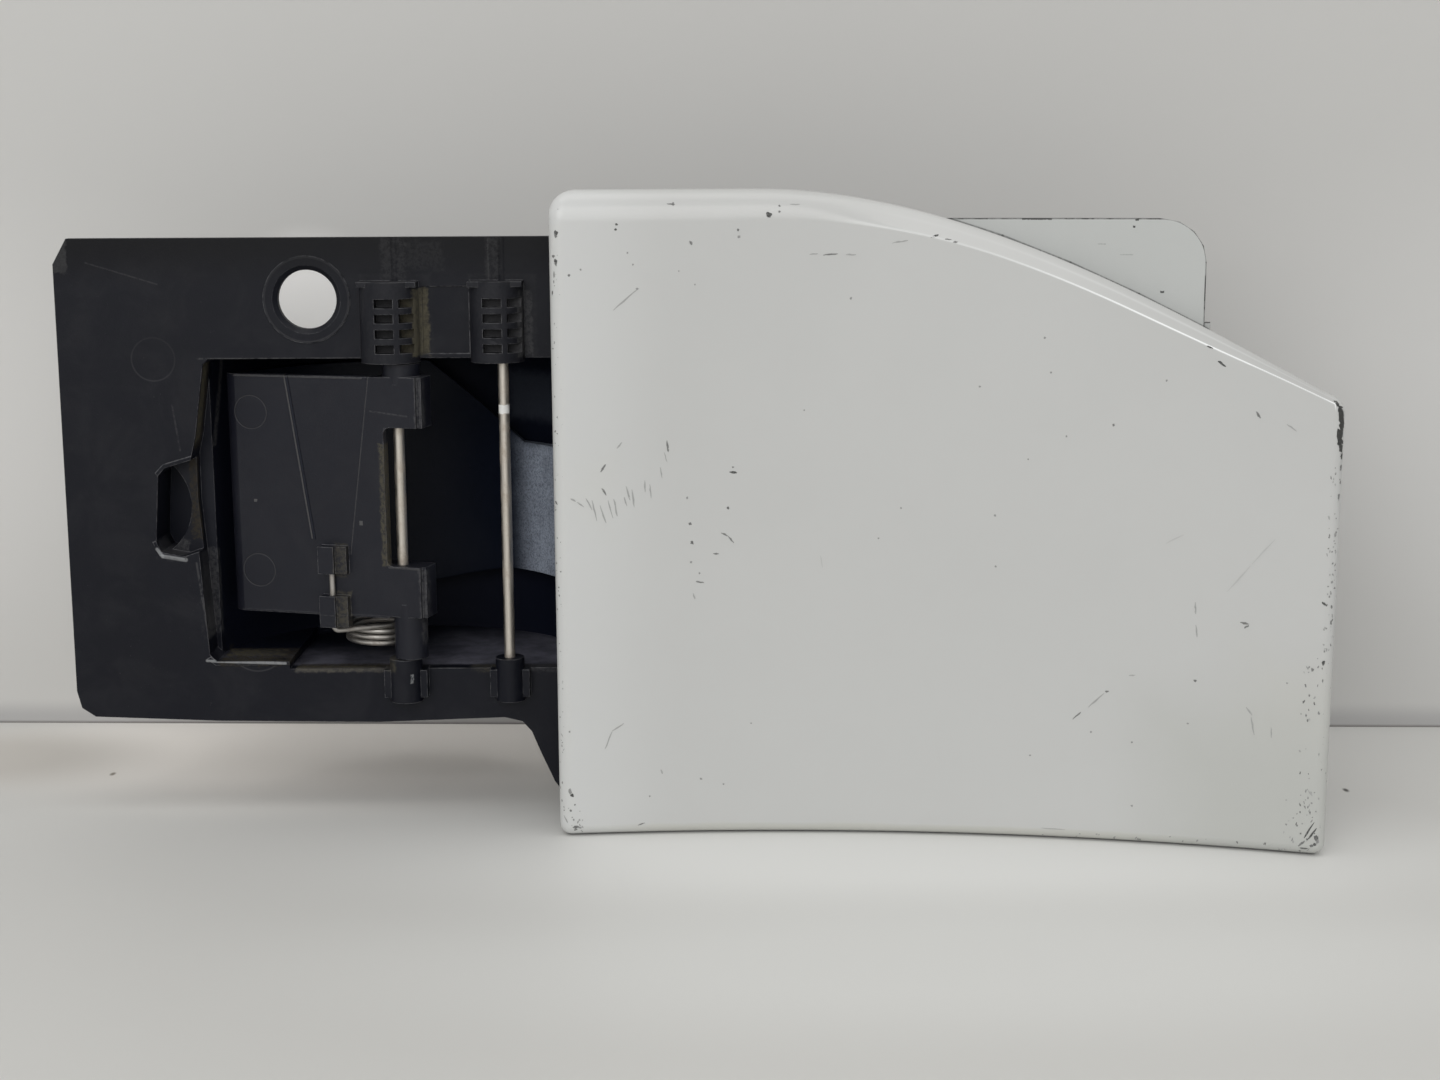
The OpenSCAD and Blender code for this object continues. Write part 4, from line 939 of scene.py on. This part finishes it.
coverMarks = {
    "strokeTones": {"darkStrokes": 1.0, "midStrokes": 0.85, "faintStrokes": 0.45, "hairlines": 0.18},
    "lift": 0.00003, "liftStep": 0.000002, "wideX": 0.45, "wideZ": 0.8, "wideRings": 4,
    "thin": 0.13, "thicker": 0.12, "waver": 0.15, "strokeSteps": 5, "blotPoints": 12,
    "seed": 11, "edgeSeed": 5,
    # x z x z: thin strokes
    "darkStrokes": [
        (169.7, 17.3, 171.7, 18.1), (243.5, -14.3, 245.5, -15.7), (240.6, -10.4, 242.1, -11.1),
        (116.4, -45.0, 118.5, -45.3), (271.3, -76.9, 272.6, -77.9), (269.6, -141.6, 272.0, -137.0),
        (270.6, -142.0, 272.6, -138.6),
    ],
    "midStrokes": [
        (100.3, 26.4, 102.4, 26.2), (106.2, 16.7, 106.8, 15.6), (141.4, 12.8, 145.3, 13.1),
        (173.3, 16.9, 175.1, 16.8), (175.4, 16.1, 176.7, 16.2), (253.4, -27.2, 254.4, -29.0),
        (81.9, -44.7, 83.2, -42.6), (82.1, -49.1, 83.3, -51.0), (99.7, -36.3, 100.0, -39.5),
        (117.1, -43.7, 117.7, -43.8), (114.1, -61.7, 116.0, -62.6), (116.0, -62.6, 117.6, -64.6),
        (111.9, -67.4, 113.5, -67.4), (107.2, -75.1, 109.4, -75.4), (105.7, -58.7, 106.1, -59.5),
        (105.9, -63.9, 106.6, -64.8), (115.7, -54.7, 116.3, -55.2), (209.3, -112.3, 211.4, -110.2),
        (217.6, -104.2, 218.6, -104.1), (251.5, -83.5, 253.7, -83.9), (252.5, -85.0, 253.7, -84.2),
        (268.3, -144.0, 269.9, -142.4), (90.6, -143.8, 92.6, -143.2),
    ],
    "faintStrokes": [
        (132.7, 26.1, 135.3, 26.0), (85.8, -1.4, 92.7, 4.4), (137.8, 13.0, 140.1, 13.2),
        (147.4, 12.9, 150.1, 12.9), (159.5, 15.9, 163.7, 16.6), (260.9, -30.3, 263.4, -32.1),
        (86.3, -38.4, 87.7, -36.7), (73.7, -51.8, 75.1, -52.5), (75.4, -52.7, 77.2, -54.1),
        (79.4, -52.3, 80.7, -58.0), (77.8, -51.7, 79.4, -55.0), (81.5, -53.7, 83.1, -58.6),
        (83.7, -52.4, 85.0, -57.3), (85.3, -52.1, 86.1, -56.8), (88.0, -51.6, 88.8, -54.1),
        (90.2, -49.5, 90.7, -54.4), (88.6, -48.6, 89.6, -52.5), (93.7, -47.1, 93.7, -50.3),
        (95.0, -48.2, 95.3, -52.0), (97.8, -43.6, 98.3, -46.6), (98.9, -39.5, 99.7, -42.2),
        (106.4, -78.3, 106.9, -80.0), (213.3, -108.8, 217.3, -104.7), (223.7, -99.5, 225.3, -99.3),
        (240.0, -78.6, 240.3, -81.8), (240.4, -84.8, 240.8, -88.1), (253.8, -106.6, 255.4, -108.7),
        (255.2, -109.2, 256.1, -114.1), (260.3, -111.6, 260.5, -114.6), (201.6, -143.5, 208.0, -143.7),
        (270.1, -128.3, 271.2, -129.8), (81.9, -121.8, 83.9, -116.7), (83.9, -116.7, 87.2, -114.5),
        (97.2, -127.9, 97.6, -129.2),
    ],
    "hairlines": [
        (247.9, -75.5, 253.4, -68.2), (253.9, -67.6, 259.3, -60.7), (141.0, -68.0, 141.6, -71.5),
        (232.0, -63.0, 236.5, -60.4),
    ],
    # x z radius, tone
    "specks": [
        (127.1, 23.3, 0.85, 1.0), (87.0, 21.1, 0.34, 1.0), (86.7, 19.8, 0.34, 1.0), (71.1, 19.1, 0.55, 0.9),
        (70.8, 11.7, 0.5, 0.9), (129.9, 25.7, 0.3, 0.6), (129.9, 24.2, 0.32, 0.6), (101.9, 26.3, 0.4, 0.6),
        (119.0, 19.5, 0.4, 0.6), (106.6, 16.2, 0.35, 0.6), (70.3, 12.9, 0.4, 0.6), (74.3, 7.9, 0.37, 0.6),
        (217.8, -31.6, 0.37, 0.6), (100.0, -39.0, 0.32, 0.6), (105.7, -59.2, 0.4, 0.6),
        (106.2, -64.3, 0.42, 0.6), (116.0, -54.9, 0.37, 0.6), (240.7, -100.1, 0.4, 0.6),
        (72.7, -134.7, 0.5, 0.8), (72.2, -139.1, 0.37, 0.6), (73.4, -137.4, 0.27, 0.6),
        (119.2, 17.7, 0.4, 0.35), (77.4, 9.4, 0.27, 0.35), (91.2, 10.6, 0.27, 0.35),
        (89.8, 13.7, 0.27, 0.35), (103.3, 8.8, 0.24, 0.35), (107.5, 5.2, 0.24, 0.35),
        (92.2, 4.2, 0.35, 0.35), (148.8, 1.4, 0.37, 0.35), (199.6, -8.8, 0.32, 0.35),
        (201.4, -18.0, 0.32, 0.35), (230.9, -19.7, 0.32, 0.35), (205.8, -34.9, 0.29, 0.35),
        (183.0, -21.9, 0.32, 0.35), (196.0, -41.2, 0.27, 0.35), (162.6, -54.9, 0.32, 0.35),
        (187.6, -56.6, 0.32, 0.35), (156.6, -63.2, 0.29, 0.35), (188.0, -70.5, 0.32, 0.35),
        (136.5, -28.4, 0.27, 0.35), (105.0, -52.0, 0.35, 0.35), (105.9, -69.7, 0.32, 0.35),
        (108.2, -72.8, 0.32, 0.35), (225.0, -118.0, 0.29, 0.35), (214.2, -115.7, 0.29, 0.35),
        (239.2, -112.0, 0.32, 0.35), (225.5, -135.9, 0.32, 0.35), (198.2, -122.9, 0.27, 0.35),
        (263.7, -99.3, 0.27, 0.35), (108.2, -130.8, 0.35, 0.35), (94.0, -135.5, 0.29, 0.35),
        (114.4, -132.4, 0.29, 0.35), (122.1, -115.0, 0.27, 0.35), (72.3, -116.5, 0.32, 0.35),
    ],
    # x z, half sizes, tilt, tone: paint knocked off at the edges
    "chips": [
        (272.8, -24.6, 0.5, 0.8, 35, 1.15), (273.7, -26.0, 0.9, 1.2, 20, 1.15),
        (274.2, -28.0, 1.0, 1.6, 5, 1.15), (274.3, -30.2, 0.9, 1.7, 0, 1.15),
        (273.8, -32.5, 1.1, 1.4, 0, 1.15), (274.0, -34.5, 1.0, 1.3, 0, 1.15),
        (274.4, -36.3, 0.6, 1.2, 6, 1.1), (274.7, -38.4, 0.35, 0.9, 0, 1.1),
        (274.6, -41.4, 0.35, 0.8, 0, 0.9), (274.7, -45.2, 0.3, 0.5, 0, 0.8),
        (274.4, -49.0, 0.3, 0.9, 0, 0.7), (273.9, -59.0, 0.3, 0.6, 0, 0.6),
        (273.6, -71.5, 0.35, 0.4, 0, 0.6), (273.8, -78.2, 0.3, 0.5, 0, 0.8),
        (273.9, -82.4, 0.3, 0.6, 0, 0.8), (272.4, -93.2, 0.45, 0.8, 0, 1.0),
        (269.8, -95.2, 0.4, 0.5, 0, 0.8), (272.7, -141.3, 0.65, 0.8, 0, 0.95),
        (271.6, -143.6, 0.5, 0.4, 20, 0.85), (272.4, -143.2, 0.5, 0.5, -30, 0.9),
        (273.1, -142.4, 0.4, 0.7, -20, 0.7), (269.8, -144.6, 1.1, 0.3, 0, 0.85),
        (73.6, -143.9, 0.9, 0.4, 0, 0.8), (73.4, -144.7, 0.6, 0.35, 10, 0.7),
        (74.6, -144.1, 0.5, 0.25, 0, 0.6), (71.0, -142.0, 0.22, 0.9, 25, 0.5),
        (70.5, -141.2, 0.18, 0.8, 25, 0.4), (71.0, 18.4, 0.3, 0.9, 15, 0.8),
        (70.9, 11.4, 0.35, 1.0, 10, 0.85), (70.4, 8.2, 0.25, 0.9, 0, 0.6), (72.1, -133.6, 0.5, 1.0, 10, 0.6),
    ],
    # low z, high z, left x, right x, how many: small random specks along the edges
    "edgeSpecks": [(-140, -92, 267.5, 272.5, 34), (-92, -40, 272.0, 274.6, 52), (-143, -128, 264, 273, 32),
                   (-146, -144, 200, 272, 22), (-140, 24, 69.3, 70.6, 30), (-146, -138, 70, 76, 14)],
}


def surfaceUnder(piece):
    return BVHTree.FromObject(piece, bpy.context.evaluated_depsgraph_get())


# lays flat marks on the painted face, each point dropped on it from the front
def buildMarks(tree, name, rows):
    chance = random.Random(coverMarks["seed"])
    points, faces, tones = [], [], []

    # a point beyond the silhouette is drawn to the mark's middle until it meets the shell
    def drop(x, z, centre):
        for k in range(9):
            at = Vector((between(x, centre[0], k / 8), -200, between(z, centre[1], k / 8)))
            hit = tree.ray_cast(at * milli, Vector((0, 1, 0)))[0]
            if hit is not None:
                # marks that cross don't share a plane
                lift = coverMarks["lift"] + coverMarks["liftStep"] * (len(faces) % 7)
                return hit - Vector((0, lift, 0))
        return None

    def add(outline, centre, tone, rings=1):  # more rings keep a wide chip on the rounded edge
        spots = [drop(*centre, centre)]
        for r in range(1, rings + 1):
            spots += [drop(between(centre[0], x, r / rings), between(centre[1], z, r / rings), centre)
                      for x, z in outline]
        if any(s is None for s in spots):
            return
        first, n = len(points), len(outline)
        points.extend(spots)
        rimTone = tone * (0.75 if tone < 1 else 0.95)
        tones.extend([tone] * (1 + n * (rings - 1)) + [rimTone] * n)
        faces.extend((first, first + 1 + k, first + 1 + (k + 1) % n) for k in range(n))
        for a in range(first + 1, first + 1 + n * (rings - 1), n):
            faces.extend((a + k, a + n + k, a + n + (k + 1) % n, a + (k + 1) % n) for k in range(n))

    def addStroke(x0, z0, x1, z1, tone):
        start, run = Vector((x0, z0)), Vector((x1 - x0, z1 - z0))
        side = Vector((-run.y, run.x)).normalized()
        width = (coverMarks["thin"] + coverMarks["thicker"] * tone) * (0.8 + 0.5 * chance.random())
        steps = coverMarks["strokeSteps"]
        upper, lower = [], []
        for k in range(steps + 1):
            w = width * math.sin(math.pi * (0.12 + 0.76 * k / steps)) * (0.7 + 0.6 * chance.random())
            middle = start + run * k / steps + side * coverMarks["waver"] * (chance.random() - 0.5)
            upper.append(tuple(middle + side * w))
            lower.append(tuple(middle - side * w))
        add(upper + lower[::-1], ((x0 + x1) / 2, (z0 + z1) / 2), tone)

    def addBlot(x, z, halfX, halfZ, tilt, tone):
        turn = math.radians(tilt)
        outline = []
        for k in range(coverMarks["blotPoints"]):
            a = 2 * math.pi * k / coverMarks["blotPoints"]
            r = 0.65 + 0.6 * chance.random()
            dx, dz = halfX * r * math.cos(a), halfZ * r * math.sin(a)
            outline.append((x + dx * math.cos(turn) - dz * math.sin(turn),
                            z + dx * math.sin(turn) + dz * math.cos(turn)))
        wide = halfX > coverMarks["wideX"] or halfZ > coverMarks["wideZ"]
        add(outline, (x, z), tone, coverMarks["wideRings"] if wide else 1)

    for kind, shape, tone in rows:
        if kind == "stroke":
            addStroke(*shape, tone)
        else:
            addBlot(*shape, tone)
    piece = newPiece(name, points, faces)
    piece.data.attributes.new("tone", "FLOAT", "POINT").data.foreach_set("value", tones)
    paintWith(piece, materials["mark"])
    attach(piece, "flap")
    return piece


shell = buildCover()
paintWith(shell, materials["cover"])
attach(shell, "flap")
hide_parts("outer_cover")
print("cover made:", len(shell.data.polygons), "faces")

rows = [("stroke", s, tone) for kind, tone in coverMarks["strokeTones"].items() for s in coverMarks[kind]]
rows += [("blot", (x, z, r, r, 0), min(1.0, 0.3 + tone)) for x, z, r, tone in coverMarks["specks"]]
rows += [("blot", shape, tone) for *shape, tone in coverMarks["chips"]]
chance = random.Random(coverMarks["edgeSeed"])
for low, high, left, right, count in coverMarks["edgeSpecks"]:
    for k in range(count):
        x, z = chance.uniform(left, right), chance.uniform(low, high)
        halfX, halfZ, tilt = chance.uniform(0.12, 0.26), chance.uniform(0.12, 0.55), chance.uniform(-30, 30)
        rows.append(("blot", (x, z, halfX, halfZ, tilt), chance.uniform(0.4, 1.0)))
marksPiece = buildMarks(surfaceUnder(shell), "cover_marks", rows)
print("marks made:", len(marksPiece.data.polygons), "faces")


# floor, wall, light and camera
stage = {
    "floorZ": -0.1468, "wallY": 0.0896, "wallSlope": -0.031, "wide": 3.0,  # metres
    "sky": (0.98, 0.99, 1.0, 1), "skyStrength": 0.60,
    "floor": {"colour": (0.655, 0.650, 0.628, 1), "roughness": 0.5, "pools": [  # centre, radii, colour: the first four are painted light and shade, lighter under the housing and in front of the cover, darker at the far left; the last two are small dark spots
        ((-8, 62, -147), (150, 82, 50), (1.0, 0.955, 0.90, 1)),
        ((-112, 52, -147), (62, 44, 50), (0.60, 0.572, 0.532, 1)),
        ((170, -45, -147), (210, 66, 50), (0.785, 0.785, 0.765, 1)),
        ((170, -120, -147), (210, 62, 50), (0.71, 0.71, 0.69, 1)),
        ((298, 11, -147), (1.2, 2.6, 9), (0.06, 0.055, 0.05, 1)),
        ((-72, 34, -147), (1.2, 2.4, 9), (0.25, 0.22, 0.18, 1)),
    ]},
    "wall": {"colour": (0.62, 0.614, 0.596, 1), "roughness": 0.7, "pools": [
        # painted light and shade on the wall: a bright patch behind the fixing hole, lighter areas left and
        # right, painted shade along the wall's foot and a darker painted shadow line in the corner
        ((-17, 89, -7), (30, 80, 26), (0.99, 0.98, 0.96, 1)),
        ((-190, 95, -45), (190, 300, 105), (0.70, 0.692, 0.675, 1)),
        ((390, 78, -45), (180, 300, 105), (0.675, 0.670, 0.655, 1)),
        ((0, 89, -147), (9000, 9000, 9.0), (0.46, 0.455, 0.45, 1)),
        ((0, 89, -147), (9000, 9000, 1.3), (0.22, 0.21, 0.20, 1)),
    ]},
}


def backdrop(name, corners):
    piece = newPiece(name, corners, [(0, 1, 2, 3)], smooth=False)
    material, board, skin = newMaterial(name + "_finish")
    cloud = board.noise(0.004, 3.0, 0.6)
    tone = board.mix(cloud, stage[name]["colour"], shade(stage[name]["colour"], 0.96))
    # pools of painted light and shade, and on the floor two small dark spots
    for centre, radii, other in stage[name]["pools"]:
        tone = board.mix(board.mask(poolMask, Centre=centre, Radii=radii), tone, other)
    board.feed(skin, "Base Color", tone)
    board.feed(skin, "Roughness", board.timesAdd(cloud, 0.1, stage[name]["roughness"]))
    # from behind, the stage lets the view through
    behind = board.add("ShaderNodeNewGeometry").outputs["Backfacing"]
    board.feed(skin, "Alpha", board.maths("SUBTRACT", 1.0, behind))
    paintWith(piece, material)


w, z0 = stage["wide"], stage["floorZ"]
yLeft, yRight = stage["wallY"] - w * stage["wallSlope"], stage["wallY"] + w * stage["wallSlope"]
backdrop("floor", [(-w, -w, z0), (w, -w, z0), (w, yRight, z0), (-w, yLeft, z0)])
backdrop("wall", [(-w, yLeft, z0), (w, yRight, z0), (w, yRight, z0 + w), (-w, yLeft, z0 + w)])

world = bpy.data.worlds.new("room")
world.use_nodes = True
world.node_tree.nodes["Background"].inputs["Color"].default_value = stage["sky"]
world.node_tree.nodes["Background"].inputs["Strength"].default_value = stage["skyStrength"]
scene.world = world

lamps = [  # name, place, aimed at, width, height, watts, colour
    ("ceilingPanel", (0.15, -0.25, 1.25), (0.10, -0.05, 0.0), 1.5, 0.7, 4.0, (1.0, 0.985, 0.955)),
    ("frontFill", (-0.25, -1.6, 0.65), (0.10, 0.0, -0.03), 1.2, 1.0, 10.0, (1.0, 0.99, 0.975)),
]
for name, where, target, width, height, watts, tint in lamps:
    light = bpy.data.lights.new(name, "AREA")
    light.shape = "RECTANGLE"
    light.size, light.size_y, light.energy, light.color = width, height, watts, tint
    lamp = bpy.data.objects.new(name, light)
    lamp.location = where
    lamp.rotation_euler = (Vector(target) - Vector(where)).to_track_quat("-Z", "Y").to_euler()
    scene.collection.objects.link(lamp)

view = {"place": (0.1138, -0.6012, 0.0446), "pitch": 79.33, "roll": -0.3, "lens": 54.0, "sensor": 36.0,
        "nearest": 0.02}
cameraData = bpy.data.cameras.new("camera")
cameraData.lens = view["lens"]
cameraData.sensor_width = view["sensor"]
cameraData.sensor_fit = "HORIZONTAL"
cameraData.clip_start = view["nearest"]
camera = bpy.data.objects.new("camera", cameraData)
pitched = Matrix.Translation(view["place"]) @ Matrix.Rotation(math.radians(view["pitch"]), 4, "X")
camera.matrix_world = pitched @ Matrix.Rotation(math.radians(view["roll"]), 4, "Z")
scene.collection.objects.link(camera)
scene.camera = camera
print("stage and camera set")
